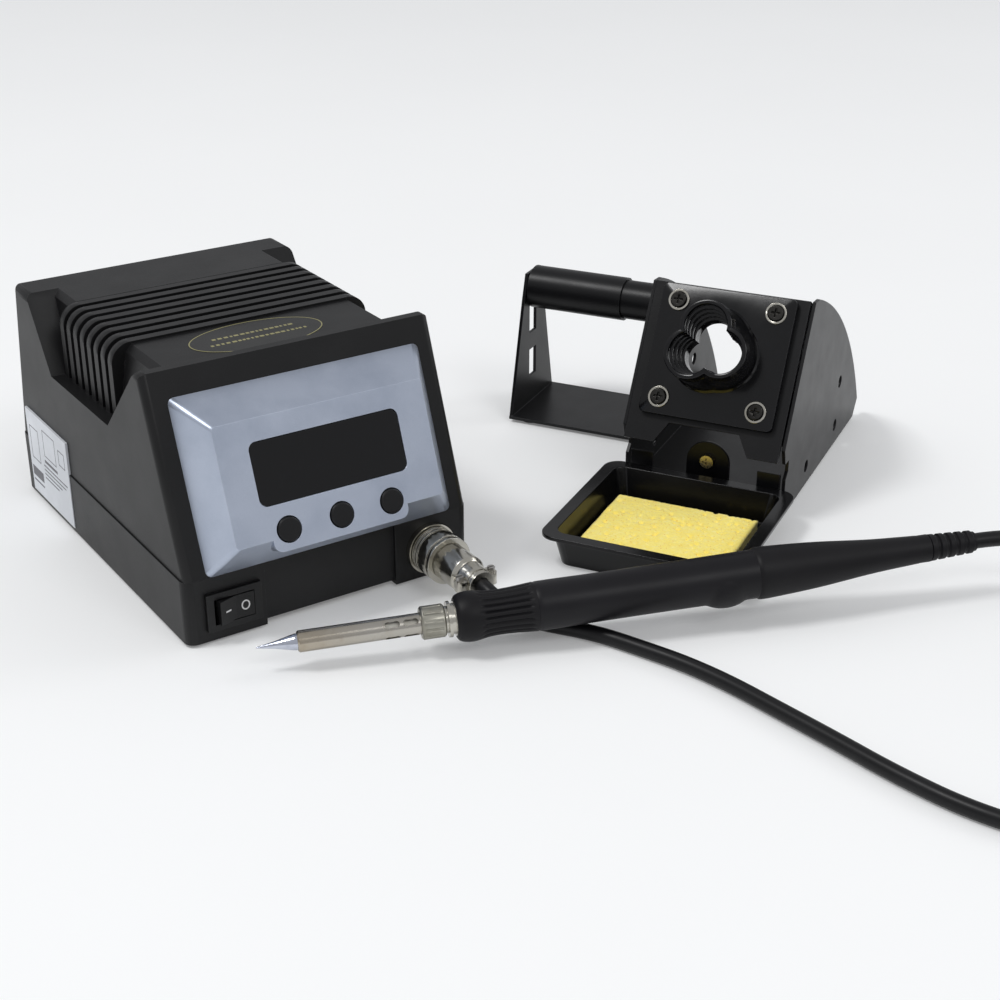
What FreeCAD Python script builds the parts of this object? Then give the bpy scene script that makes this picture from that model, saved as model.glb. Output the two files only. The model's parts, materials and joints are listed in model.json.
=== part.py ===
"""Soldering iron station: control unit, corded iron, and a stand with sponge tray and reel spindle.

Millimetres, +Z up. The origin is on the bench, in the middle of the set's footprint without its cord.
The control unit faces -Y.
"""
import FreeCAD, Part
import math
import os

Vector = FreeCAD.Vector
Placement = FreeCAD.Placement
Rotation = FreeCAD.Rotation

# Control unit; its own origin is the middle of its front edge
STATION_AT = Vector(-118.9, -22.4, 0.0)
STATION_W = 120.0
STATION_D = 168.0
SEAM_Z = 27.0
RIM_Z = 98.3
BASE_BOTTOM = 1.2
WALL = 2.5
FRONT_LEAN = math.radians(20.2)
COVER_HALF = 59.4
COVER_ROUND = 3.0
SADDLE_Z = 66.5
HUMP_HALF = 48.0
FIN_COUNT = 8
FIN_PITCH = 7.1
FIN_THICK = 4.0
FIN_FIRST_Y = 68.0
FIN_HALF = 54.0
FIN_TOP = 96.0
LABEL_Y, LABEL_Z, LABEL_THICK = (112.0, 159.0), (3.0, 41.0), 0.35
POST_XY = [(sx * 51.0, y) for sx in (-1, 1) for y in (66.0, 118.0)]
FOOT_XY = [(sx * 47.0, y) for sx in (-1, 1) for y in (14.0, 154.0)]

# Front bezel, in the sloped front's own axes: x, up the slope, outwards
BEZEL_RAISE = 14.0
WINDOW_HALF = 30.3
WINDOW_LOW, WINDOW_HIGH = 21.5, 45.0
BUTTON_X = {"button_left": -21.5, "button_middle": 0.0, "button_right": 21.0}
BUTTON_UP = 11.6
BUTTON_R = 4.6
BUTTON_TRAVEL = 0.8

# Power switch and panel socket on the base's front
SWITCH_X, SWITCH_Z = -41.5, 13.2
SWITCH_TILT = 8.0
SOCKET_X, SOCKET_Z = 42.0, 13.8
THREAD_R = 8.0
PLUG_END = 38.0

# Stand
STAND_AT = Vector(52.3, -31.6, 0.0)
STAND_YAW = -58.0
SHEET = 1.5
STAND_HALF = 35.4
PANEL_FOOT = (-5.8, 28.9)
PANEL_LEAN = math.radians(30.7)
PANEL_LENGTH = 68.2
HOLDER_HALF = 29.0
HOLDER_LOW, HOLDER_HIGH = 11.5, 67.5
HOLDER_THICK = 3.0
HOLDER_MID = (-1.0, 41.0)
HOLDER_BORE = 8.8
THROAT_LENGTH = 3.0
FUNNEL_HIGH = 21.0
LOBE_TURNS = (100, 220, 340)
PANEL_HOLE = 13.0
HOLDER_SCREWS = [(sx * 21.0, up) for sx in (-1, 1) for up in (18.7, 60.5)]
REEL_Y, REEL_Z = 75.4, 60.0
REEL_R = 9.9
REEL_OUTER_X = (-109.8, -64.0)
REEL_INNER_X = (-86.0, -37.6)

# Sponge tray
TRAY_HALF = 41.6
TRAY_DEPTH = 79.6
TRAY_RIM_Z = 14.7
TRAY_CORNER = 7.0
TUB_CORNER = 6.0
TRAY_WALL = 1.8
SPONGE_Z = (2.6, 8.2)

# Iron, along its own axis from the front end of the tip sleeve
IRON_AT = Vector(-151.3, -55.1, 11.05)
IRON_YAW = -21.2
IRON_RISE = 2.67
TIP_END = -14.6
VENTS = (31.0, 43.5)
NUT = (44.2, 53.0)
GRIP_FRONT = 56.6
HANDLE = (86.3, 169.6)
REAR_SLEEVE_END = 234.2
IRON_END = 257.4
GRIP_RIBS = 22
LUG_WAY = Vector(0, -0.45, -0.893)

# Cord
CORD_R = 3.0
COIL_AT = Vector(96.1, -244.4, 0.0)
COIL_INNER, COIL_OUTER, COIL_HIGH = 30.3, 42.3, 12.0


def box(x0, x1, y0, y1, z0, z1):
    return Part.makeBox(x1 - x0, y1 - y0, z1 - z0, Vector(x0, y0, z0))


def rod(start, end, radius):
    start, end = Vector(*start), Vector(*end)
    return Part.makeCylinder(radius, (end - start).Length, start, end - start)


def tube(start, end, outer, inner):
    return rod(start, end, outer).cut(rod(start, end, inner))


def cone(start, end, r_start, r_end):
    start, end = Vector(*start), Vector(*end)
    return Part.makeCone(r_start, r_end, (end - start).Length, start, end - start)


def fuse(shapes):
    joined = shapes[0]
    for shape in shapes[1:]:
        joined = joined.fuse(shape)
    return joined.removeSplitter()


def cut(shape, tools):
    for tool in tools:
        shape = shape.cut(tool)
    return shape


def rounded_outline(x0, x1, y0, y1, r, z=0.0):
    """A closed wire in a horizontal plane: a rectangle with rounded corners."""
    corners = [(x1 - r, y0 + r, -90), (x1 - r, y1 - r, 0), (x0 + r, y1 - r, 90), (x0 + r, y0 + r, 180)]
    arcs = []
    for cx, cy, turn in corners:
        circle = Part.Circle(Vector(cx, cy, z), Vector(0, 0, 1), r)
        arcs.append(Part.ArcOfCircle(circle, math.radians(turn), math.radians(turn + 90)).toShape())
    edges = []
    for arc, following in zip(arcs, arcs[1:] + arcs[:1]):
        edges.append(arc)
        edges.append(Part.makeLine(arc.Vertexes[-1].Point, following.Vertexes[0].Point))
    return Part.Wire(edges)


def rounded_box(x0, x1, y0, y1, z0, z1, r):
    return Part.Face(rounded_outline(x0, x1, y0, y1, r, z0)).extrude(Vector(0, 0, z1 - z0))


def frustum(low, high, z0, z1):
    """A solid between two rounded rectangles, each (x0, x1, y0, y1, r)."""
    return Part.makeLoft([rounded_outline(*low, z0), rounded_outline(*high, z1)], True, True)


def prism(points, way, start, end):
    """A polygon swept along X or Y. Points are (y, z) for X and (x, z) for Y."""
    if way == "x":
        corners = [Vector(start, a, b) for a, b in points]
        along = Vector(end - start, 0, 0)
    else:
        corners = [Vector(a, start, b) for a, b in points]
        along = Vector(0, end - start, 0)
    return Part.Face(Part.makePolygon(corners + corners[:1])).extrude(along)


def plate(points, z0, z1):
    """A polygon in a horizontal plane with a thickness."""
    corners = [Vector(x, y, z0) for x, y in points]
    return Part.Face(Part.makePolygon(corners + corners[:1])).extrude(Vector(0, 0, z1 - z0))


def turned(profile):
    """A solid of revolution about X. The profile is a closed list of (along, radius)."""
    corners = [Vector(a, r, 0) for a, r in profile]
    face = Part.Face(Part.makePolygon(corners + corners[:1]))
    return face.revolve(Vector(0, 0, 0), Vector(1, 0, 0), 360)


def turned_smooth(outer, inner):
    """A solid of revolution about X: a smooth curve through the outer points, closed by the inner ones."""
    curve = Part.BSplineCurve()
    curve.interpolate([Vector(a, r, 0) for a, r in outer])
    corners = [Vector(a, r, 0) for a, r in [outer[-1]] + inner + [outer[0]]]
    lines = [Part.makeLine(start, end) for start, end in zip(corners, corners[1:])]
    return Part.Face(Part.Wire([curve.toShape()] + lines)).revolve(Vector(0, 0, 0), Vector(1, 0, 0), 360)


def turned_shell(points, inner):
    """A turned tube whose outside follows the points and whose bore has one radius."""
    return turned([(points[0][0], inner)] + points + [(points[-1][0], inner)])


def frame_of(origin, across, up, out):
    """The placement that takes local x, y, z to three directions at an origin."""
    matrix = FreeCAD.Matrix()
    for column, direction in enumerate((across, up, out), start=1):
        for row, value in enumerate(direction, start=1):
            setattr(matrix, f"A{row}{column}", value)
    for row, value in enumerate(origin, start=1):
        setattr(matrix, f"A{row}4", value)
    return Placement(matrix)


def moved(shape, placement):
    return shape.transformed(placement.Matrix)


STATION = Placement(STATION_AT, Rotation())
FRONT = frame_of(
    (STATION_AT.x, STATION_AT.y, SEAM_Z),
    (1, 0, 0),
    (0, math.sin(FRONT_LEAN), math.cos(FRONT_LEAN)),
    (0, -math.cos(FRONT_LEAN), math.sin(FRONT_LEAN)),
)
STAND = Placement(STAND_AT, Rotation(Vector(0, 0, 1), STAND_YAW))
PANEL = STAND.multiply(
    frame_of(
        (0, PANEL_FOOT[0], PANEL_FOOT[1]),
        (1, 0, 0),
        (0, math.sin(PANEL_LEAN), math.cos(PANEL_LEAN)),
        (0, -math.cos(PANEL_LEAN), math.sin(PANEL_LEAN)),
    )
)
IRON = Placement(IRON_AT, Rotation(Vector(0, 0, 1), IRON_YAW).multiply(Rotation(Vector(0, 1, 0), -IRON_RISE)))


# ---------------------------------------------------------------- control unit


def base_shell():
    half = STATION_W / 2
    shell = rounded_box(-half, half, 0, STATION_D, BASE_BOTTOM, SEAM_Z, 4.0)
    floor_z = BASE_BOTTOM + 3.2
    inside = rounded_box(-half + WALL, half - WALL, WALL + 1.5, STATION_D - WALL, floor_z, SEAM_Z + 1, 2.0)
    recess = box(-28.2, 27.0, -1, 1.5, -1, SEAM_Z + 1)
    lifted_lip = box(-28.2, 27.0, -1, 3.9, -1, BASE_BOTTOM + 1.5)
    shell = cut(shell, [inside, recess, lifted_lip])
    posts = [rod((x, y, BASE_BOTTOM + 3.0), (x, y, SEAM_Z), 4.5) for x, y in POST_XY]
    shell = fuse([shell] + posts)
    holes = [rod((x, y, 0), (x, y, SEAM_Z + 1), 1.7) for x, y in POST_XY]
    heads = [rod((x, y, 0), (x, y, 3.6), 3.3) for x, y in POST_XY]
    feet = [rod((x, y, 0), (x, y, 3.2), 6.2) for x, y in FOOT_XY]
    switch_hole = box(SWITCH_X - 9.5, SWITCH_X + 9.5, -1, 6, SWITCH_Z - 6.4, SWITCH_Z + 6.4)
    socket_hole = rod((SOCKET_X, -1, SOCKET_Z), (SOCKET_X, 6, SOCKET_Z), THREAD_R + 0.1)
    inlet_hole = box(-48.0, -20.0, STATION_D - 6, STATION_D + 1, 4.8, 24.6)
    fuse_hole = rod((0, STATION_D - 6, 14), (0, STATION_D + 1, 14), 6.1)
    return cut(shell, holes + heads + feet + [switch_hole, socket_hole, inlet_hole, fuse_hole]), STATION


def cover_profile(inset=0.0):
    """The side outline of the cover, with the saddle between its front rim and its rear."""
    rise = RIM_Z - SEAM_Z
    front = lambda z: math.tan(FRONT_LEAN) * (z - SEAM_Z)
    rear = lambda z: STATION_D - 11.4 * (z - SEAM_Z) / (95.3 - SEAM_Z)
    low = SEAM_Z - (1.0 if inset else 0.0)
    return [
        (front(low) + 1.1 * inset, low),
        (front(RIM_Z - inset) + 1.1 * inset, SEAM_Z + rise - inset),
        (30.2 - 0.6 * inset, RIM_Z - inset),
        (62.3 - 0.6 * inset, SADDLE_Z - inset),
        (121.5 + 0.6 * inset, SADDLE_Z - inset),
        (142.0 + 0.6 * inset, 95.3 - inset),
        (rear(95.3) - inset, 95.3 - inset),
        (rear(low) - inset, low),
    ]


def hump_block(half_low, half_high, y0, y1, top, low=SADDLE_Z - 4.0):
    """The middle block above the saddle, a little narrower at its top."""
    outline = [(-half_low, low), (half_low, low), (half_high, top - 2.5), (half_high - 2.5, top)]
    outline += [(-half_high + 2.5, top), (-half_high, top - 2.5)]
    return prism(outline, "y", y0, y1)


def cooling_fin(y):
    corner = 8.0
    crown = rounded_box(-FIN_HALF, FIN_HALF, SADDLE_Z - 20.0, FIN_TOP, 0, FIN_THICK, corner)
    crown = crown.common(box(-FIN_HALF, FIN_HALF, SADDLE_Z - 2.0, FIN_TOP, -1, FIN_THICK + 1))
    stood = frame_of((0, y + FIN_THICK / 2, 0), (1, 0, 0), (0, 0, 1), (0, -1, 0))
    return moved(crown, stood)


def top_cover():
    walls = prism(cover_profile(), "x", -COVER_HALF, COVER_HALF)
    upright, crown = [], []
    for edge in walls.Edges:
        middle = edge.CenterOfMass
        if abs(middle.x) < COVER_HALF - 1:
            continue
        if edge.Length > 60 and (middle.y < 20 or middle.y > 160):
            upright.append(edge)
        if middle.z > 95.0 and abs(edge.tangentAt(0).y) > 0.99:
            crown.append(edge)
    walls = walls.makeFillet(COVER_ROUND, upright + crown)
    plateau = hump_block(HUMP_HALF + 5, HUMP_HALF, 29.0, 66.0, 95.0)
    core = hump_block(HUMP_HALF + 2, HUMP_HALF + 1, 65.0, 124.0, 91.5)
    rear = hump_block(HUMP_HALF + 3, HUMP_HALF, 122.0, 152.0, 95.3)
    outside = fuse([walls, plateau, core, rear])
    hollow = prism(cover_profile(WALL), "x", -COVER_HALF + WALL, COVER_HALF - WALL)
    inner_low = SADDLE_Z - 8.0
    hump_hollow = fuse(
        [
            hump_block(HUMP_HALF + 2, HUMP_HALF - 3, 33.0, 66.5, 92.5, inner_low),
            hump_block(HUMP_HALF - 1, HUMP_HALF - 2, 66.0, 122.5, 89.0, inner_low),
            hump_block(HUMP_HALF, HUMP_HALF - 3, 122.0, 149.0, 92.6, inner_low),
        ]
    )
    shell = cut(outside, [hollow, hump_hollow])
    fins = [cooling_fin(FIN_FIRST_Y + FIN_PITCH * i) for i in range(FIN_COUNT)]
    shell = fuse([shell] + [fin.cut(hump_hollow).cut(hollow) for fin in fins])
    posts = [rod((x, y, SEAM_Z), (x, y, SADDLE_Z - 1.0), 4.5) for x, y in POST_XY]
    shell = fuse([shell] + posts)
    pilots = [rod((x, y, SEAM_Z - 1), (x, y, SEAM_Z + 14), 1.3) for x, y in POST_XY]
    vents = []
    for i in range(FIN_COUNT - 1):
        y = FIN_FIRST_Y + FIN_PITCH * (i + 0.5)
        vents.append(box(-38, 38, y - 1.1, y + 1.1, 88.0, 93.0))
    shell = cut(shell, pilots + vents)
    opening = moved(box(-46, 46, 5.5, 61.5, -8, 4), STATION.inverse().multiply(FRONT))
    return shell.cut(opening), STATION


def front_bezel():
    body = frustum((-51, 52, 0, 66, 2.5), (-42.7, 42.9, 9.0, 53.5, 1.5), 0, BEZEL_RAISE)
    tab = rounded_box(-28.4, 27.2, 4.0, 16.0, 1.0, BEZEL_RAISE, 3.5)
    body = fuse([body, tab])
    hollow = frustum((-48.5, 49.5, 2.0, 63.5, 1.5), (-40.7, 40.9, 10.8, 51.5, 1.0), -0.5, BEZEL_RAISE - 2.0)
    tab_hollow = rounded_box(-26.4, 25.2, 6.0, 16.0, -1, BEZEL_RAISE - 2.0, 2.0)
    edge, low, high = WINDOW_HALF + 0.15, WINDOW_LOW - 0.15, WINDOW_HIGH + 0.15
    recess = rounded_box(-edge, edge, low, high, 12.6, 15, 3.1)
    sight = rounded_box(-WINDOW_HALF + 2, WINDOW_HALF - 2, WINDOW_LOW + 2, WINDOW_HIGH - 2, 8, 15, 2)
    holes = [rod((x, BUTTON_UP, 8), (x, BUTTON_UP, 15), BUTTON_R + 0.35) for x in BUTTON_X.values()]
    return cut(body, [hollow, tab_hollow, recess, sight] + holes), FRONT


def display_window():
    pane = rounded_box(-WINDOW_HALF, WINDOW_HALF, WINDOW_LOW, WINDOW_HIGH, 12.6, 13.7, 3.0)
    return pane, FRONT


def display_module():
    frame = rounded_box(-27.5, 27.5, WINDOW_LOW + 2.8, WINDOW_HIGH - 2.8, 5.6, 11.0, 0.8)
    glass = box(-26, 26, WINDOW_LOW + 4, WINDOW_HIGH - 4, 11.0, 12.2)
    pins = [rod((x, WINDOW_HIGH - 4.5, 3.6), (x, WINDOW_HIGH - 4.5, 5.8), 0.4) for x in range(-20, 21, 4)]
    return fuse([frame, glass] + pins), FRONT


def control_board():
    board = rounded_box(-40, 40, 8, 50, 2.0, 3.6, 1.5)
    holes = [rod((sx * 37, up, 0), (sx * 37, up, 5), 1.6) for sx in (-1, 1) for up in (11, 47)]
    return cut(board, holes), FRONT


def tact_switches():
    switches = []
    for x in BUTTON_X.values():
        case = box(x - 3, x + 3, BUTTON_UP - 3, BUTTON_UP + 3, 3.6, 7.0)
        switches.append(case.fuse(rod((x, BUTTON_UP, 7.0), (x, BUTTON_UP, 7.9), 1.6)))
    return Part.makeCompound(switches), FRONT


def button(x):
    cap = rod((x, BUTTON_UP, 9.6), (x, BUTTON_UP, 14.6), BUTTON_R)
    top_edges = [e for e in cap.Edges if e.CenterOfMass.z > 14.5 and len(e.Vertexes) == 1]
    cap = cap.makeFillet(0.7, top_edges)
    stem = rod((x, BUTTON_UP, 9.1), (x, BUTTON_UP, 9.7), 1.8)
    return fuse([cap, stem]), FRONT


def switch_housing():
    x, z = SWITCH_X, SWITCH_Z
    flange = box(x - 11.0, x + 11.0, -1.6, 0, z - 7.6, z + 7.6)
    body = box(x - 9.4, x + 9.4, 0, 15, z - 6.3, z + 6.3)
    terminals = [box(x + dx - 0.4, x + dx + 0.4, 15, 21, z - 2.4, z + 2.4) for dx in (-6, 0, 6)]
    cavity = box(x - 8.0, x + 8.0, -3, 10, z - 5.2, z + 5.2)
    axle_hole = rod((x, 1.5, z - 6.2), (x, 1.5, z + 6.2), 1.25)
    return cut(fuse([flange, body] + terminals), [cavity, axle_hole]), STATION


def power_rocker():
    """A two-facet paddle on a vertical axle, resting with its right side pushed in."""
    outline = [(-7.2, -4.4), (0, -3.2), (7.2, -4.4), (7.2, -1.0), (3.2, 3.6), (-3.2, 3.6), (-7.2, -1.0)]
    paddle = plate(outline, -4.8, 4.8)
    axle = rod((0, 0, -6.0), (0, 0, 6.0), 1.2)
    rocker = fuse([paddle, axle])
    rocker.rotate(Vector(0, 0, 0), Vector(0, 0, 1), SWITCH_TILT)
    rocker.translate(Vector(SWITCH_X, 1.5, SWITCH_Z))
    return rocker, STATION


def at_socket(shape):
    shape.translate(Vector(SOCKET_X, 0, SOCKET_Z))
    return shape


def socket_body():
    flange = rod((0, 0, 0), (0, -2.6, 0), 10.3)
    barrel = rod((0, -2.6, 0), (0, -9.5, 0), THREAD_R - 0.1)
    tail = rod((0, 0, 0), (0, 9.0, 0), THREAD_R)
    body = fuse([flange, barrel, tail]).cut(rod((0, -10, 0), (0, 10, 0), 6.9))
    return at_socket(body), STATION


def socket_nut():
    corners = [(9.6 * math.cos(math.radians(60 * i)), 9.6 * math.sin(math.radians(60 * i))) for i in range(6)]
    nut = prism(corners, "y", WALL + 1.5 + 0.2, WALL + 1.5 + 3.2)
    return at_socket(nut.cut(rod((0, 0, 0), (0, 12, 0), THREAD_R))), STATION


def pin_circle(radius):
    turns = [math.radians(90 + 72 * i) for i in range(5)]
    return [(radius * math.cos(turn), radius * math.sin(turn)) for turn in turns]


def socket_insert():
    disc = rod((0, 1.0, 0), (0, 8.0, 0), 6.9)
    pins = [rod((px, -4.4, pz), (px, 12.0, pz), 0.9) for px, pz in pin_circle(4.0)]
    return at_socket(fuse([disc] + pins)), STATION


def mains_inlet():
    low, high = STATION_D - 19.0, STATION_D
    flange = box(-50.0, -18.0, STATION_D, STATION_D + 2.4, 2.6, 26.2)
    body = box(-47.8, -20.2, low, high, 5.0, 24.4)
    cavity = rounded_box(-45.8, -22.2, 6.8, 22.6, 0, 17.4, 3.0)
    cavity = moved(cavity, frame_of((0, STATION_D + 2.5, 0), (1, 0, 0), (0, 0, 1), (0, -1, 0)))
    shell = fuse([flange, body]).cut(cavity)
    spots = ((-41, 12.5), (-34, 16.5), (-27, 12.5))
    blades = [box(x - 1, x + 1, low + 3, high - 5, z - 2, z + 2) for x, z in spots]
    tabs = [box(x - 0.4, x + 0.4, low - 6, low + 1, z - 2.4, z + 2.4) for x, z in spots]
    return fuse([shell] + blades + tabs), STATION


def fuse_holder():
    y = STATION_D
    body = rod((0, y - 30, 14), (0, y, 14), 6.0)
    cap = rod((0, y, 14), (0, y + 6, 14), 8.0)
    slot_cut = box(-6, 6, y + 4.6, y + 7, 13.2, 14.8)
    return cut(fuse([body, cap]), [slot_cut]), STATION


def transformer_core():
    core = box(-30, 30, 74, 116, 6.4, 56.0)
    windows = [box(-20, -8, 70, 120, 15, 47.4), box(8, 20, 70, 120, 15, 47.4)]
    feet = [box(sx * 35 - 6, sx * 35 + 6, 85, 105, 4.4, 6.4) for sx in (-1, 1)]
    holes = [rod((sx * 37, y, 3), (sx * 37, y, 8), 1.8) for sx in (-1, 1) for y in (90, 100)]
    return cut(fuse([cut(core, windows)] + feet), holes), STATION


def transformer_windings():
    outer = rounded_box(-19.4, 19.4, 66.5, 123.5, 15.6, 46.8, 4.0)
    return outer.cut(box(-8.2, 8.2, 73.8, 116.2, 10, 60)), STATION


def transformer_screws():
    screws = []
    for sx in (-1, 1):
        for y in (90, 100):
            head = rod((sx * 37, y, 6.4), (sx * 37, y, 8.6), 3.0)
            screws.append(head.fuse(rod((sx * 37, y, 4.5), (sx * 37, y, 6.5), 1.5)))
    return Part.makeCompound(screws), STATION


def main_board():
    board = box(-42, 36, 24, 60, 9.0, 10.6)
    standoffs = [rod((x, y, 4.4), (x, y, 9.0), 2.5) for x in (-38, 32) for y in (28, 56)]
    return fuse([board] + standoffs), STATION


def power_components():
    capacitor = rod((-28, 42, 10.6), (-28, 42, 34), 8.0)
    relay = box(-12, 8, 34, 49, 10.6, 26)
    heat_sink = box(14, 32, 48, 51, 10.6, 36)
    blades = [box(x, x + 1.6, 38, 48.5, 12, 36) for x in (14, 18.1, 22.2, 26.3, 30.4)]
    return Part.makeCompound([capacitor, relay, fuse([heat_sink] + blades)]), STATION


def case_screws():
    screws = []
    for x, y in POST_XY:
        head = rod((x, y, 1.3), (x, y, 3.6), 2.9)
        shank = rod((x, y, 3.5), (x, y, SEAM_Z + 12), 1.25)
        slots = [box(x - 2, x + 2, y - 0.4, y + 0.4, 1, 2.2), box(x - 0.4, x + 0.4, y - 2, y + 2, 1, 2.2)]
        screws.append(cut(head.fuse(shank), slots))
    return Part.makeCompound(screws), STATION


def station_feet():
    return Part.makeCompound([cone((x, y, 0), (x, y, 3.2), 5.6, 6.1) for x, y in FOOT_XY]), STATION


def rating_label():
    """A sticker that bridges the seam between base and cover."""
    face = -STATION_W / 2
    on_base = box(face - LABEL_THICK, face, *LABEL_Y, LABEL_Z[0], SEAM_Z)
    on_cover = box(face - LABEL_THICK, -COVER_HALF, *LABEL_Y, SEAM_Z, LABEL_Z[1])
    return fuse([on_base, on_cover]), STATION


# ----------------------------------------------------------------- cable plug


def plug_ring():
    ring = tube((0, -3.0, 0), (0, -15.0, 0), 9.5, THREAD_R)
    lip = tube((0, -13.6, 0), (0, -15.0, 0), 9.5, 7.05)
    grooves = [tube((0, y, 0), (0, y - 0.7, 0), 10, 9.0) for y in (-4.4, -6.2, -12.6)]
    return at_socket(cut(fuse([ring, lip]), grooves)), STATION


def plug_shell():
    nose = rod((0, -2.9, 0), (0, -9.8, 0), 6.7)
    collar = rod((0, -9.8, 0), (0, -13.3, 0), 7.6)
    neck = rod((0, -13.3, 0), (0, -15.4, 0), 7.0)
    barrel = rod((0, -15.4, 0), (0, -28.0, 0), 7.4)
    shoulder = cone((0, -28.0, 0), (0, -29.6, 0), 7.4, 6.2)
    shell = fuse([nose, collar, neck, barrel, shoulder])
    return at_socket(shell.cut(rod((0, -1, 0), (0, -31, 0), 5.9))), STATION


def plug_insert():
    disc = rod((0, -2.9, 0), (0, -12.0, 0), 5.9)
    bores = [rod((px, -2, pz), (px, -7.0, pz), 0.95) for px, pz in pin_circle(4.0)]
    cups = [rod((px, -12.0, pz), (px, -16.0, pz), 1.0) for px, pz in pin_circle(4.0)]
    return at_socket(fuse([cut(disc, bores)] + cups)), STATION


def plug_clamp():
    """The rear ferrule with the two-eared saddle that grips the cable."""
    ferrule = cone((0, -29.6, 0), (0, -PLUG_END, 0), 6.2, 5.2)
    ears = rounded_box(-8.6, 8.6, -36.6, -30.4, -2.3, 2.3, 2.4)
    bridge = rod((0, -36.0, 0), (0, -31.0, 0), 5.8)
    bore = rod((0, -29, 0), (0, -PLUG_END - 1, 0), CORD_R + 0.1)
    return at_socket(fuse([ferrule, ears, bridge]).cut(bore)), STATION


def plug_screws():
    screws = []
    for sx in (-1, 1):
        head = rod((sx * 7.0, -33.5, 2.3), (sx * 7.0, -33.5, 3.9), 1.5)
        slot = box(sx * 7.0 - 2, sx * 7.0 + 2, -33.8, -33.2, 3.3, 4.2)
        screws.append(head.cut(slot))
    return at_socket(Part.makeCompound(screws)), STATION


# ---------------------------------------------------------------------- stand


def side_outline():
    """The side plate's wire: floor, curved back, sloped front edge and the notch above the tray."""
    back = Part.Arc(Vector(0, 127.6, 8.5), Vector(0, 90.5, 55.0), Vector(0, 36.0, 86.5)).toShape()
    points = [(36.0, 86.5), (30.2, 87.0), (-2.0, 33.0), (0.5, 26.0), (5.7, 26.0), (5.7, 21.0), (2.6, 18.0)]
    points += [(2.6, SHEET), (121.0, SHEET), (127.6, 8.5)]
    corners = [Vector(0, y, z) for y, z in points]
    edges = [Part.makeLine(a, b) for a, b in zip(corners, corners[1:])]
    return Part.Wire([back] + edges)


def stand_frame():
    face = Part.Face(side_outline())
    sides = []
    for x in (-STAND_HALF, STAND_HALF - SHEET):
        side = face.copy()
        side.translate(Vector(x, 0, 0))
        sides.append(side.extrude(Vector(SHEET, 0, 0)))
    floor = box(-STAND_HALF, STAND_HALF, 2.6, 121.0, SHEET, 2 * SHEET)
    rear_lip = box(-STAND_HALF, STAND_HALF, 119.5, 121.0, SHEET, 12.0)
    front_lip = box(-STAND_HALF, STAND_HALF, 2.6, 2.6 + SHEET, SHEET, 11.0)
    tabs = [box(sx * 28 - 5, sx * 28 + 5, 2.6, 2.6 + SHEET, SHEET, 20.0) for sx in (-1, 1)]
    ear = box(-9.5, 9.5, 7.4, 7.4 + SHEET, SHEET, 17.5).fuse(rod((0, 7.4, 17.5), (0, 7.4 + SHEET, 17.5), 9.5))
    boss = rod((-STAND_HALF, REEL_Y, REEL_Z), (-STAND_HALF + SHEET, REEL_Y, REEL_Z), 9.0)
    frame = fuse(sides + [floor, rear_lip, front_lip, ear, boss] + tabs)
    holes = [rod((-40, y, z), (40, y, z), 2.8) for y, z in ((87.7, 31.2), (84.7, 11.0), (36.4, 10.6))]
    ear_hole = rod((0, 5, 18.6), (0, 12, 18.6), 1.6)
    pivot = rod((-40, REEL_Y, REEL_Z), (-30, REEL_Y, REEL_Z), 2.5)
    return cut(frame, holes + [ear_hole, pivot]), STAND


def stand_panel():
    half = STAND_HALF - SHEET - 0.4
    outline = [(-half, PANEL_LENGTH), (half, PANEL_LENGTH), (half, 0), (20.4, 0), (15.2, 9.0), (-15.2, 9.0)]
    outline += [(-20.4, 0), (-half, 0)]
    sheet = plate(outline, -SHEET, 0)
    flanges = [box(x, x + SHEET, 8, PANEL_LENGTH, -9, -SHEET / 2) for x in (-half, half - SHEET)]
    top = box(-half, half, PANEL_LENGTH - SHEET, PANEL_LENGTH, -9, -SHEET / 2)
    panel = fuse([sheet, top] + flanges)
    hole = rod((HOLDER_MID[0], HOLDER_MID[1], -12), (HOLDER_MID[0], HOLDER_MID[1], 2), PANEL_HOLE)
    screws = [rod((x, up, -4), (x, up, 1), 1.7) for x, up in HOLDER_SCREWS]
    return cut(panel, [hole] + screws), PANEL


def trefoil(reach, lobe, z):
    """A closed wire of three overlapping round lobes around the holder's middle."""
    ridge = reach / 2 + math.sqrt(lobe**2 - 0.75 * reach**2)

    def spot(radius, turn):
        turn = math.radians(turn)
        return Vector(HOLDER_MID[0] + radius * math.cos(turn), HOLDER_MID[1] + radius * math.sin(turn), z)

    arcs = []
    for turn in LOBE_TURNS:
        start, top, end = spot(ridge, turn - 60), spot(reach + lobe, turn), spot(ridge, turn + 60)
        arcs.append(Part.Arc(start, top, end).toShape())
    return Part.Wire(arcs)


def loft_between(low, high):
    return Part.makeLoft([low, high], True, True)


def iron_holder():
    """The holder plate with its three-lobed funnel; the ridges between the lobes stop the iron's flare."""
    cx, cy = HOLDER_MID
    base = rounded_box(-HOLDER_HALF, HOLDER_HALF, HOLDER_LOW, HOLDER_HIGH, 0, HOLDER_THICK, 2.5)
    outside = loft_between(trefoil(6.0, 12.6, HOLDER_THICK - 0.5), trefoil(7.4, 10.9, FUNNEL_HIGH))
    mouth = loft_between(trefoil(5.0, 7.75, THROAT_LENGTH), trefoil(7.4, 8.9, FUNNEL_HIGH + 0.5))
    throat = rod((cx, cy, -1), (cx, cy, THROAT_LENGTH + 0.5), HOLDER_BORE)
    screws = [rod((x, up, -1), (x, up, 5), 1.7) for x, up in HOLDER_SCREWS]
    return cut(fuse([base, outside]), [mouth, throat] + screws), PANEL


def holder_washers():
    washers = []
    for x, up in HOLDER_SCREWS:
        washers.append(tube((x, up, HOLDER_THICK), (x, up, HOLDER_THICK + 0.9), 4.5, 3.55))
    return Part.makeCompound(washers), PANEL


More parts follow.
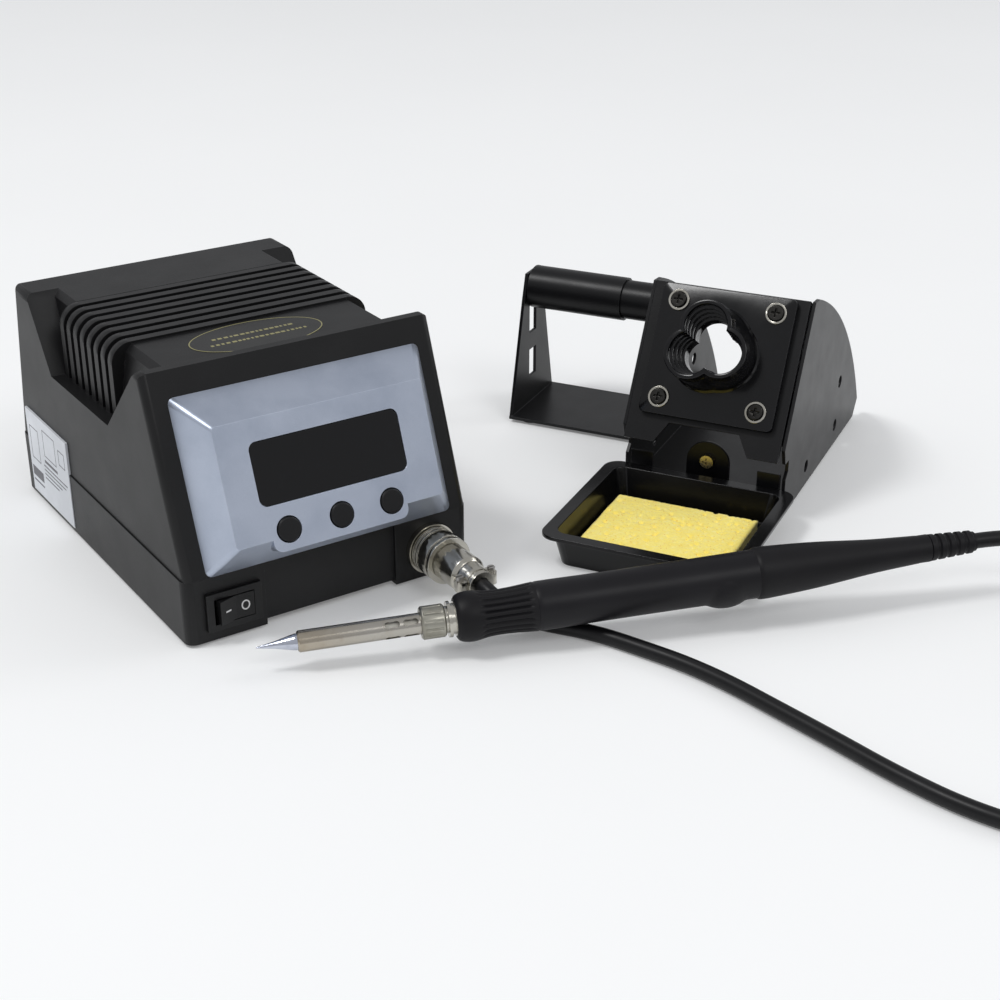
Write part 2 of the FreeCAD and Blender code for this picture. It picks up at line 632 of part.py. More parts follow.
def holder_screws():
    screws = []
    for x, up in HOLDER_SCREWS:
        head = rod((x, up, HOLDER_THICK), (x, up, HOLDER_THICK + 1.8), 3.2)
        shank = rod((x, up, -5.0), (x, up, HOLDER_THICK), 1.6)
        low = HOLDER_THICK + 0.9
        across = box(x - 1.8, x + 1.8, up - 0.35, up + 0.35, low, 6)
        slots = [across, box(x - 0.35, x + 0.35, up - 1.8, up + 1.8, low, 6)]
        screws.append(cut(head.fuse(shank), slots))
    return Part.makeCompound(screws), PANEL


def ear_screw():
    head = rod((0, 7.4, 18.6), (0, 5.2, 18.6), 2.9)
    shank = rod((0, 7.4, 18.6), (0, 13.0, 18.6), 1.5)
    nut = rod((0, 8.9, 18.6), (0, 11.3, 18.6), 3.0)
    slots = [box(-1.8, 1.8, 5, 6.2, 18.25, 18.95), box(-0.35, 0.35, 5, 6.2, 16.8, 20.4)]
    return cut(fuse([head, shank, nut]), slots), STAND


def reel_bracket():
    outer_x = REEL_OUTER_X[0] - 0.5
    floor = box(outer_x - SHEET, -STAND_HALF, 50.0, 99.0, SHEET, 2 * SHEET)
    outline = [(50.0, SHEET), (99.0, SHEET), (REEL_Y + 11.2, REEL_Z - 4), (REEL_Y + 7.5, REEL_Z + 8)]
    outline += [(REEL_Y - 7.5, REEL_Z + 8), (REEL_Y - 11.2, REEL_Z - 4)]
    cheek = prism(outline, "x", outer_x - SHEET, outer_x)
    slots = []
    for low in (16.0, 38.0):
        slots.append(box(outer_x - 4, outer_x + 4, REEL_Y - 5.0, REEL_Y + 2.6, low, low + 13.5))
    pivot = rod((outer_x - 4, REEL_Y, REEL_Z), (outer_x + 4, REEL_Y, REEL_Z), 2.5)
    pads = [tube((x, y, 0), (x, y, SHEET), 4.5, 1.0) for x, y in ((outer_x + 7, 57), (outer_x + 7, 92))]
    return cut(fuse([floor, cheek] + pads), slots + [pivot]), STAND


def along_reel(x0, x1, radius):
    return rod((x0, REEL_Y, REEL_Z), (x1, REEL_Y, REEL_Z), radius)


def reel_spindle_outer():
    x0, x1 = REEL_OUTER_X
    sleeve = along_reel(x0, x1, REEL_R).cut(along_reel(x0 + 2.0, x1 + 1, REEL_R - 0.9))
    pin = along_reel(x0 - 2.6, x0 + 1, 2.42)
    return fuse([sleeve, pin]), STAND


def reel_spindle_inner():
    x0, x1 = REEL_INNER_X
    sleeve = along_reel(x0, x1, REEL_R - 0.98).cut(along_reel(x0 - 1, x1 - 2.0, REEL_R - 2.4))
    pin = along_reel(x1 - 1, x1 + 4.2, 2.42)
    return fuse([sleeve, pin]), STAND


def stand_feet():
    spots = [(sx * 26.0, y) for sx in (-1, 1) for y in (14.0, 108.0)]
    return Part.makeCompound([cone((x, y, 0), (x, y, SHEET), 5.0, 5.6) for x, y in spots]), STAND


def sponge_tray():
    rim_low = TRAY_RIM_Z - 1.6
    rim = rounded_box(-TRAY_HALF, TRAY_HALF, -TRAY_DEPTH, 0, rim_low, TRAY_RIM_Z, TRAY_CORNER)
    inset, draft = 3.6, 3.0
    top = (-TRAY_HALF + inset, TRAY_HALF - inset, -TRAY_DEPTH + inset, -inset, TUB_CORNER)
    low = (top[0] + draft, top[1] - draft, top[2] + draft, top[3] - draft, TUB_CORNER - 1)
    tub = frustum(low, top, 0.0, rim_low + 0.4)
    low_in = (low[0] + TRAY_WALL, low[1] - TRAY_WALL, low[2] + TRAY_WALL, low[3] - TRAY_WALL, 3.5)
    top_in = (top[0] + TRAY_WALL, top[1] - TRAY_WALL, top[2] + TRAY_WALL, top[3] - TRAY_WALL, 4.5)
    hollow = frustum(low_in, top_in, 2.0, TRAY_RIM_Z + 0.1)
    return fuse([rim, tub]).cut(hollow), STAND


def sponge():
    pad = rounded_box(-30.5, 30.5, -66.5, -17.5, SPONGE_Z[0], SPONGE_Z[1], 1.5)
    return pad, STAND


# ----------------------------------------------------------------------- iron


def iron_tip():
    profile = [(TIP_END, 0.0), (TIP_END + 0.1, 0.25), (-8.0, 1.35), (-2.6, 2.65), (-0.8, 3.0)]
    profile += [(24.0, 3.15), (24.0, 2.1)]
    profile += [(4.0, 2.1), (4.0, 0.0)]
    return turned(profile), IRON


def heater():
    return turned([(4.6, 0.0), (4.6, 1.9), (47.0, 1.9), (47.0, 3.1), (60.0, 3.1), (60.0, 0.0)]), IRON


def tip_sleeve():
    flange = NUT[0] + 1.9
    points = [(0.0, 3.5), (0.6, 3.95), (flange, 3.95), (flange, 4.9), (flange + 0.9, 4.9)]
    sleeve = turned_shell(points, 3.35)
    slots = []
    for i in range(4):
        for start in (VENTS[0], VENTS[0] + 6.8):
            slot = box(start + 1.1, start + 4.4, -1.1, 1.1, 2.0, 6.0)
            ends = [rod((start + a, 0, 2.0), (start + a, 0, 6.0), 1.25) for a in (1.25, 4.25)]
            slot = fuse([slot] + ends)
            slot.rotate(Vector(0, 0, 0), Vector(1, 0, 0), 90 * i + 45)
            slots.append(slot)
    return cut(sleeve, slots), IRON


def barrel_nut():
    a, b = NUT
    outline = [(a, 5.5), (a + 0.6, 6.1), (b - 0.6, 6.1), (b, 5.6)]
    body = turned([(a, 4.1)] + outline + [(b, 5.0), (a + 1.6, 5.0), (a + 1.6, 4.1)])
    flutes = []
    for i in range(12):
        flute = rod((a + 1.2, 0, 6.6), (b - 1.2, 0, 6.6), 0.8)
        flute.rotate(Vector(0, 0, 0), Vector(1, 0, 0), 30 * i)
        flutes.append(flute)
    return cut(body, flutes), IRON


def nose_bush():
    points = [(NUT[0] + 2.9, 4.9), (54.0, 4.9), (54.0, 6.6), (55.2, 6.6), (55.2, 5.6)]
    points += [(GRIP_FRONT, 5.6), (GRIP_FRONT, 6.4)]
    points += [(GRIP_FRONT + 6.0, 6.4)]
    return turned_shell(points, 3.2), IRON


def front_grip():
    """A soft sleeve, flared at the front and ribbed along its waist."""
    start, end = GRIP_FRONT + 0.2, HANDLE[0]
    outer = [(start, 7.0), (start + 0.9, 8.3), (start + 4.0, 9.25), (start + 7.2, 9.2), (start + 11.0, 8.5)]
    outer += [(start + 15.0, 8.25), (start + 21.0, 8.4), (end - 2.0, 8.9), (end, 9.05)]
    back = GRIP_FRONT + 6.2
    body = turned_smooth(outer, [(end, 7.2), (back, 7.2), (back, 6.5), (start, 6.5)])
    grooves = []
    for i in range(GRIP_RIBS):
        groove = rod((start + 8.4, 0, 8.95), (end - 2.2, 0, 8.95), 0.8)
        groove.rotate(Vector(0, 0, 0), Vector(1, 0, 0), 360 * i / GRIP_RIBS)
        grooves.append(groove)
    return cut(body, grooves), IRON


def handle_body():
    """The hollow handle, with a low lug near its rear that keeps it from rolling."""
    start, end = HANDLE
    front = GRIP_FRONT + 6.4
    outer = [(start, 9.05), (start + 25.0, 8.95), (start + 55.0, 8.98), (end - 6.0, 9.1), (end, 9.15)]
    inner = [(end, 6.6), (start + 2, 6.6), (start, 4.8), (front, 4.8), (front, 7.1), (start, 7.1)]
    shell = turned_smooth(outer, inner)
    middle = end - 12.0
    lug = turned([(middle - 9, 0.0), (middle - 9, 6.9), (middle - 4, 8.6), (middle, 9.1), (middle + 4, 8.6),
                  (middle + 9, 6.9), (middle + 9, 0.0)])
    lug.translate(LUG_WAY * 1.9)
    bore = rod((start + 2, 0, 0), (end, 0, 0), 6.6)
    return fuse([shell, lug.cut(bore)]), IRON


def rear_sleeve():
    """A tapered rubber sleeve with a rounded collar against the handle."""
    start, end = HANDLE[1], REAR_SLEEVE_END
    outer = [(start, 9.3), (start + 1.6, 9.75), (start + 6.0, 9.7), (start + 24.0, 8.6), (start + 46.0, 6.5)]
    outer += [(end - 3.0, 5.5), (end, 5.4)]
    return turned_smooth(outer, [(end, 4.6), (start + 44.0, 4.6), (start + 20.0, 6.6), (start, 6.6)]), IRON


def terminal_board():
    board = box(64.0, 112.0, -4.2, 4.2, -0.8, 0.8)
    chip = box(88.0, 98.0, -3.0, 3.0, 0.8, 3.0)
    return fuse([board, chip]), IRON


def strain_relief():
    """A ribbed sleeve that tapers to the cord."""
    start, end = REAR_SLEEVE_END, IRON_END
    count = 5
    pitch = (end - start - 4.6) / count
    points = [(start - 14.0, 4.5), (start + 0.2, 4.5), (start + 0.2, 5.3)]
    points += [(start + 3.6, 5.2), (start + 3.6, 4.3)]
    for i in range(count):
        rib_start = start + 4.6 + pitch * i
        radius = 5.0 - 0.18 * i
        points += [(rib_start, radius - 0.8), (rib_start + 0.3, radius), (rib_start + pitch * 0.62, radius - 0.05)]
        points += [(rib_start + pitch * 0.75, radius - 0.8)]
    points += [(end, 3.5)]
    body = turned([(start - 14.0, 0.0)] + points + [(end, 0.0)])
    return body, IRON


# ----------------------------------------------------------------------- cord


def iron_end_point():
    return IRON.multVec(Vector(IRON_END, 0, 0))


def iron_run_route():
    """From the strain relief down to the bench and into the coil."""
    leave = iron_end_point()
    ahead = IRON.multVec(Vector(IRON_END + 16.0, 0, 0))
    return [
        (leave.x, leave.y, leave.z),
        (ahead.x, ahead.y, ahead.z),
        (122.1, -164.4, 19.5),
        (135.6, -179.4, 10.0),
        (141.6, -199.4, 4.0),
        (140.1, -222.4, 3.0),
        (135.4, -244.4, 3.0),
    ]


PLUG_RUN = [
    (-76.9, -57.9, 13.8),
    (-76.9, -63.4, 13.6),
    (-75.7, -69.4, 11.0),
    (-72.4, -73.4, 7.6),
    (-67.4, -77.9, 4.4),
    (-61.4, -83.4, 3.0),
    (-55.4, -91.4, 3.0),
    (-49.4, -101.4, 3.0),
    (-43.4, -116.4, 3.0),
    (-37.4, -132.4, 3.0),
    (-32.9, -151.4, 3.0),
    (-30.1, -173.4, 3.0),
    (-27.1, -196.4, 3.0),
    (-24.4, -222.4, 3.0),
    (-18.9, -249.4, 3.0),
    (-6.9, -273.4, 3.0),
    (15.1, -287.4, 3.0),
    (41.1, -290.4, 3.0),
    (63.1, -287.6, 4.0),
    (79.1, -284.9, 8.6),
    (93.1, -283.7, 9.0),
]


def cord_tube(name, route, radius):
    """Straight runs joined by tangent arcs, swept with a round section."""
    points = [Vector(*p) for p in route]
    edges, radii, here = [], [], points[0]
    for before, corner, after in zip(points, points[1:], points[2:]):
        back, on = before - corner, after - corner
        trim = 0.45 * min(back.Length, on.Length)
        back.normalize()
        on.normalize()
        turn = math.pi - back.getAngle(on)
        bend = trim / math.tan(turn / 2)
        into, out_of = corner + back * trim, corner + on * trim
        middle_way = back + on
        middle_way.normalize()
        middle = corner + middle_way * (bend / math.cos(turn / 2) - bend)
        edges.append(Part.LineSegment(here, into).toShape())
        edges.append(Part.Arc(into, middle, out_of).toShape())
        radii.append(round(bend, 1))
        here = out_of
    edges.append(Part.LineSegment(here, points[-1]).toShape())
    path = Part.Wire(edges)
    section = Part.Wire([Part.Circle(points[0], points[1] - points[0], radius).toShape()])
    swept = path.makePipeShell([section], True, False)
    expected = math.pi * radius**2 * path.Length
    ratio = round(swept.Volume / expected, 4)
    print(name, "length", round(path.Length, 1), "radii", radii, "volume ratio", ratio)
    return swept


def cord_iron_run():
    return cord_tube("cord_iron_run", iron_run_route(), CORD_R), Placement()


def cord_plug_run():
    return cord_tube("cord_plug_run", PLUG_RUN, CORD_R), Placement()


def cord_coil():
    ring = tube((0, 0, 0), (0, 0, COIL_HIGH), COIL_OUTER, COIL_INNER)
    return ring, Placement(COIL_AT, Rotation())


NODES = {
    "base_shell": base_shell,
    "top_cover": top_cover,
    "front_bezel": front_bezel,
    "display_window": display_window,
    "display_module": display_module,
    "control_board": control_board,
    "tact_switches": tact_switches,
    "switch_housing": switch_housing,
    "power_rocker": power_rocker,
    "socket_body": socket_body,
    "socket_nut": socket_nut,
    "socket_insert": socket_insert,
    "mains_inlet": mains_inlet,
    "fuse_holder": fuse_holder,
    "transformer_core": transformer_core,
    "transformer_windings": transformer_windings,
    "transformer_screws": transformer_screws,
    "main_board": main_board,
    "power_components": power_components,
    "case_screws": case_screws,
    "station_feet": station_feet,
    "rating_label": rating_label,
    "plug_ring": plug_ring,
    "plug_shell": plug_shell,
    "plug_insert": plug_insert,
    "plug_clamp": plug_clamp,
    "plug_screws": plug_screws,
    "stand_frame": stand_frame,
    "stand_panel": stand_panel,
    "iron_holder": iron_holder,
    "holder_washers": holder_washers,
    "holder_screws": holder_screws,
    "ear_screw": ear_screw,
    "reel_bracket": reel_bracket,
    "reel_spindle_outer": reel_spindle_outer,
    "reel_spindle_inner": reel_spindle_inner,
    "stand_feet": stand_feet,
    "sponge_tray": sponge_tray,
    "sponge": sponge,
    "iron_tip": iron_tip,
    "heater": heater,
    "tip_sleeve": tip_sleeve,
    "barrel_nut": barrel_nut,
    "nose_bush": nose_bush,
    "front_grip": front_grip,
    "handle_body": handle_body,
    "rear_sleeve": rear_sleeve,
    "terminal_board": terminal_board,
    "strain_relief": strain_relief,
    "cord_iron_run": cord_iron_run,
    "cord_plug_run": cord_plug_run,
    "cord_coil": cord_coil,
}
for button_name, button_x in BUTTON_X.items():
    NODES[button_name] = lambda x=button_x: button(x)


def main():
    os.makedirs("parts", exist_ok=True)
    for name, make in NODES.items():
        shape, placement = make()
        shape = moved(shape, placement)
        print(f"{name:22s} solids {len(shape.Solids)} valid {shape.isValid()} lowest {shape.BoundBox.ZMin:.2f}")
        shape.exportStep(f"parts/{name}.step")


main()
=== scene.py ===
"""Soldering iron station: cords, soft and moulded pieces, materials, light and camera around the CAD frame.

Metres, +Z up, in the CAD part's own frame.
"""
import bisect
import json
import math
import random

import bmesh
import bpy
from mathutils import Matrix, Vector, noise


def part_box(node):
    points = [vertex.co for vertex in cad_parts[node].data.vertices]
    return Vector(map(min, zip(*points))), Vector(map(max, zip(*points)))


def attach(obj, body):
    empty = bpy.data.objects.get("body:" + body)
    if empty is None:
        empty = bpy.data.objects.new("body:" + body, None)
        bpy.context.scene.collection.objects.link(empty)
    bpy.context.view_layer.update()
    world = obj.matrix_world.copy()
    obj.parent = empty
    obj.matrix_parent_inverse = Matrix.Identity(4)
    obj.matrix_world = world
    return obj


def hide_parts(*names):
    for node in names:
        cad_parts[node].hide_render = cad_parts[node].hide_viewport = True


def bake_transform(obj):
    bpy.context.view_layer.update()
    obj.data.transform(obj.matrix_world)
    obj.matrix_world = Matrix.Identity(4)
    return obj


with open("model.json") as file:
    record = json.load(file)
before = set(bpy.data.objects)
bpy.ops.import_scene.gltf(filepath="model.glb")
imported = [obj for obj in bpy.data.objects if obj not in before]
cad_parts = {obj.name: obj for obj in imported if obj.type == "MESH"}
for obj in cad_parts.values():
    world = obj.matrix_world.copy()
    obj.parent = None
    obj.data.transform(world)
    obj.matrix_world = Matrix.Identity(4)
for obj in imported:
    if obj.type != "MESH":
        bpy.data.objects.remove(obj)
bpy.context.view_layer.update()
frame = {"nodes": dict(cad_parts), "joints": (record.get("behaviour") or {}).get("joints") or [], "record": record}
NODES = frame["nodes"]
JOINTS = {joint["name"]: joint for joint in frame["joints"]}
MOUNTS = {mount["name"]: mount for mount in frame["record"]["mounts"]}
SCENE = bpy.context.scene
MM = 0.001


# ------------------------------------------------------------ places, worked out from the frame


def frame_at(origin, across, out):
    """A matrix whose X follows one direction and whose Z follows another."""
    x = Vector(across).normalized()
    z = Vector(out).normalized()
    y = z.cross(x)
    turned = Matrix((x, y, z)).transposed().to_4x4()
    return Matrix.Translation(origin) @ turned


def joint_axis(name):
    return Vector(JOINTS[name]["axis"]).normalized()


BASE_LOW, BASE_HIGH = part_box("base_shell")
STATION_MIDDLE = (BASE_LOW.x + BASE_HIGH.x) / 2
STATION = Matrix.Translation((STATION_MIDDLE, BASE_LOW.y, 0))

STAND_X, STAND_Y = joint_axis("spindle_spin"), joint_axis("stand_slide")
REST_SPOT = (26 * MM, 14 * MM)
STAND_ORIGIN = Vector(MOUNTS["stand_rest"]["pos_m"]) - REST_SPOT[0] * STAND_X - REST_SPOT[1] * STAND_Y
STAND = frame_at(STAND_ORIGIN, STAND_X, (0, 0, 1))

HOLDER_BORE = MOUNTS["iron_holder_bore"]
HOLDER_OUT = Vector(HOLDER_BORE["axis"])
HOLDER_BACK = Vector(HOLDER_BORE["pos_m"]) - HOLDER_OUT * HOLDER_BORE["dims"]["length_mm"] / 2 * MM
HOLDER = frame_at(HOLDER_BACK, STAND_X, HOLDER_OUT)

NUT_FROM_SLEEVE = 44.2 * MM
IRON_AXIS = joint_axis("nut_spin")
IRON_ORIGIN = Vector(JOINTS["nut_spin"]["pos_m"]) - NUT_FROM_SLEEVE * IRON_AXIS
IRON = Matrix.Translation(IRON_ORIGIN) @ IRON_AXIS.to_track_quat("X", "Z").to_matrix().to_4x4()

# Places along the iron in millimetres, from the front end of its tip sleeve
GRIP_START, GRIP_END = 56.8, 86.3
HANDLE_END = 169.6
SLEEVE_END = 234.2
RELIEF_END = 257.4


# ------------------------------------------------------------ camera


def make_camera():
    camera = bpy.data.objects.new("camera", bpy.data.cameras.new("camera"))
    camera.location = (-0.3799, -0.53105, 0.3189)
    camera.rotation_euler = (math.radians(64.26), 0, math.radians(-33.46))
    camera.data.lens = 61.57
    camera.data.sensor_width = 36
    camera.data.clip_start = 0.01
    SCENE.collection.objects.link(camera)
    SCENE.camera = camera


make_camera()


# ------------------------------------------------------------ mesh helpers


def mesh_object(name, mesh, material):
    thing = bpy.data.objects.new(name, mesh)
    SCENE.collection.objects.link(thing)
    mesh.materials.append(material)
    return thing


def mesh_from(name, points, faces, sharp=35):
    """A mesh that is smooth except where it turns by more than an angle in degrees."""
    mesh = bpy.data.meshes.new(name)
    mesh.from_pydata([tuple(p) for p in points], [], faces)
    mesh.update()
    work = bmesh.new()
    work.from_mesh(mesh)
    bmesh.ops.recalc_face_normals(work, faces=work.faces)
    for face in work.faces:
        face.smooth = True
    for edge in work.edges:
        edge.smooth = edge.calc_face_angle(0) < math.radians(sharp)
    work.to_mesh(mesh)
    work.free()
    return mesh


def ring_faces(rings, sides, closed=False):
    """Quads between rings of points that are listed one after the other."""
    faces = []
    for i in range(rings if closed else rings - 1):
        for j in range(sides):
            a, b = i * sides + j, i * sides + (j + 1) % sides
            c, d = ((i + 1) % rings) * sides + (j + 1) % sides, ((i + 1) % rings) * sides + j
            faces.append((a, b, c, d))
    return faces


def curve_through(points):
    """A function that passes smoothly through (place, value) points."""
    places = [place for place, _ in points]
    values = [value for _, value in points]
    slopes = []
    for i in range(len(points)):
        a, b = max(i - 1, 0), min(i + 1, len(points) - 1)
        slopes.append((values[b] - values[a]) / (places[b] - places[a]))

    def value_at(place):
        i = min(max(bisect.bisect_right(places, place) - 1, 0), len(places) - 2)
        width = places[i + 1] - places[i]
        t = min(max((place - places[i]) / width, 0), 1)
        ends = (2 * t**3 - 3 * t**2 + 1) * values[i] + (3 * t**2 - 2 * t**3) * values[i + 1]
        lean = (t**3 - 2 * t**2 + t) * slopes[i] + (t**3 - t**2) * slopes[i + 1]
        return ends + lean * width

    return value_at


def eased(share):
    """0 to 1, with a slow start and a slow end."""
    share = min(max(share, 0.0), 1.0)
    return share * share * (3 - 2 * share)


def steps(start, end, pitch):
    count = max(1, round((end - start) / pitch))
    return [start + (end - start) * i / count for i in range(count + 1)]


def round_piece(name, places, radius_at, sides=96):
    """A piece around the iron's axis: radius_at gives the radius in mm for a place in mm and an angle."""
    points = []
    for place in places:
        for j in range(sides):
            angle = 2 * math.pi * j / sides
            radius = radius_at(place, angle)
            points.append(IRON @ (Vector((place, radius * math.cos(angle), radius * math.sin(angle))) * MM))
    faces = ring_faces(len(places), sides)
    faces.append(tuple(range(sides)))
    faces.append(tuple(range(len(points) - sides, len(points))))
    return mesh_from(name, points, faces)


def stand_in(name, mesh, material, body, slot, *nodes):
    """A finished piece that rides on a CAD body and stands for some of its nodes."""
    thing = mesh_object(name, mesh, material)
    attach(thing, body)
    if nodes:
        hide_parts(*nodes)
    return thing


def sweep_tube(name, path, radius):
    """A round tube along a list of points, with flat ends."""
    sides = 20
    points = []
    side = None
    for i, here in enumerate(path):
        ahead = path[min(i + 1, len(path) - 1)]
        behind = path[max(i - 1, 0)]
        way = (ahead - behind).normalized()
        side = way.orthogonal().normalized() if side is None else (side - way * side.dot(way)).normalized()
        up = way.cross(side)
        for j in range(sides):
            turn = 2 * math.pi * j / sides
            points.append(here + radius * (math.cos(turn) * side + math.sin(turn) * up))
    faces = ring_faces(len(path), sides)
    faces.append(tuple(range(sides)))
    faces.append(tuple(range(len(points) - sides, len(points))))
    return mesh_from(name, points, faces)


def cord_curve(name, points, radius):
    """A smooth spline with the points as its control points."""
    data = bpy.data.curves.new(name, "CURVE")
    data.dimensions = "3D"
    data.resolution_u = 12
    data.bevel_depth = radius
    data.bevel_resolution = 6
    data.use_fill_caps = True
    spline = data.splines.new("NURBS")
    spline.points.add(len(points) - 1)
    for point, place in zip(spline.points, points):
        point.co = (*place, 1.0)
    spline.order_u = 3
    spline.use_endpoint_u = True
    return data


def points_along(points):
    """Points read from the same smooth spline, with no thickness."""
    data = cord_curve("route", points, 0.0)
    thing = bpy.data.objects.new("route", data)
    mesh = bpy.data.meshes.new_from_object(thing)
    route = [vertex.co.copy() for vertex in mesh.vertices]
    bpy.data.objects.remove(thing)
    return route


def length_of(route):
    return sum((b - a).length for a, b in zip(route, route[1:]))


# ------------------------------------------------------------ cords


CORD_RADIUS = 3 * MM
COIL_LOW, COIL_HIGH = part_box("cord_coil")
COIL_MIDDLE = (COIL_LOW + COIL_HIGH) / 2
COIL_OUTER = (COIL_HIGH.x - COIL_LOW.x) / 2 - CORD_RADIUS
COIL_INNER = COIL_OUTER - 2 * CORD_RADIUS
LAYER_LOW, LAYER_HIGH = CORD_RADIUS, 3 * CORD_RADIUS
COIL_TURNS = 3.25
TURN_POINTS = 16
# The turn at which each change of the coil begins, and how many turns it takes
GO_IN, GO_UP, GO_OUT = (0.83, 0.17), (1.66, 0.18), (1.9, 0.95)

IRON_LEAD = [
    tuple(IRON @ Vector((RELIEF_END * MM, 0, 0))),
    tuple(IRON @ Vector((RELIEF_END * MM + 16 * MM, 0, 0))),
    (0.1221, -0.1644, 0.0195),
    (0.1356, -0.1794, 0.0100),
    (0.1416, -0.1994, 0.0040),
    (0.1401, -0.2224, 0.0030),
    (0.1354, -0.2444, 0.0030),
]

PLUG_LEAD = [
    (0.0931, -0.2837, 0.0090),
    (0.0791, -0.2849, 0.0086),
    (0.0631, -0.2874, 0.0040),
    (0.0411, -0.2898, 0.0030),
    (0.0151, -0.2874, 0.0030),
    (-0.0069, -0.2734, 0.0030),
    (-0.0189, -0.2494, 0.0030),
    (-0.0244, -0.2224, 0.0030),
    (-0.0271, -0.1964, 0.0030),
    (-0.0301, -0.1734, 0.0030),
    (-0.0329, -0.1514, 0.0030),
    (-0.0374, -0.1324, 0.0030),
    (-0.0434, -0.1164, 0.0030),
    (-0.0494, -0.1014, 0.0030),
    (-0.0554, -0.0914, 0.0030),
    (-0.0614, -0.0834, 0.0030),
    (-0.0674, -0.0779, 0.0044),
    (-0.0724, -0.0734, 0.0076),
    (-0.0757, -0.0694, 0.0110),
    (-0.0769, -0.0634, 0.0136),
    (-0.0769, -0.0579, 0.0138),
]


def coil_turns():
    """Three and a quarter turns, clockwise seen from above: outer, inner, then back out on top of both."""
    points = []
    for i in range(1, int(COIL_TURNS * TURN_POINTS)):
        turned = i / TURN_POINTS
        inwards = eased((turned - GO_IN[0]) / GO_IN[1])
        climb = eased((turned - GO_UP[0]) / GO_UP[1])
        outwards = eased((turned - GO_OUT[0]) / GO_OUT[1])
        radius = COIL_OUTER - (COIL_OUTER - COIL_INNER) * (inwards - outwards)
        height = LAYER_LOW + (LAYER_HIGH - LAYER_LOW) * climb
        radius /= math.cos(math.pi / TURN_POINTS)
        angle = -2 * math.pi * turned
        x, y = COIL_MIDDLE.x + radius * math.cos(angle), COIL_MIDDLE.y + radius * math.sin(angle)
        points.append((x, y, height))
    return points


def make_cords(jacket):
    lead_path = points_along(IRON_LEAD)
    lead = mesh_object("iron_cord", sweep_tube("iron_cord", lead_path, CORD_RADIUS), jacket)
    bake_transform(lead)
    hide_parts("cord_iron_run")
    route = [IRON_LEAD[-1]] + coil_turns() + PLUG_LEAD
    main = bpy.data.objects.new("station_cord", cord_curve("station_cord", route, CORD_RADIUS))
    main.data.materials.append(jacket)
    SCENE.collection.objects.link(main)
    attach(main, "station")
    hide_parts("cord_coil", "cord_plug_run")
    main_length = round(length_of(points_along(route)), 3)


# ------------------------------------------------------------ materials


def srgb(red, green, blue):
    """Linear colour from the usual 0 to 255 values."""
    linear = []
    for value in (red, green, blue):
        share = value / 255
        linear.append(share / 12.92 if share <= 0.04045 else ((share + 0.055) / 1.055) ** 2.4)
    return (*linear, 1.0)


SOCKETS = {
    "specular": "Specular IOR Level",
    "coat": "Coat Weight",
    "coat_rough": "Coat Roughness",
    "sheen": "Sheen Weight",
    "glow": "Emission Strength",
}
NOISE_ROUGHNESS = 0.55


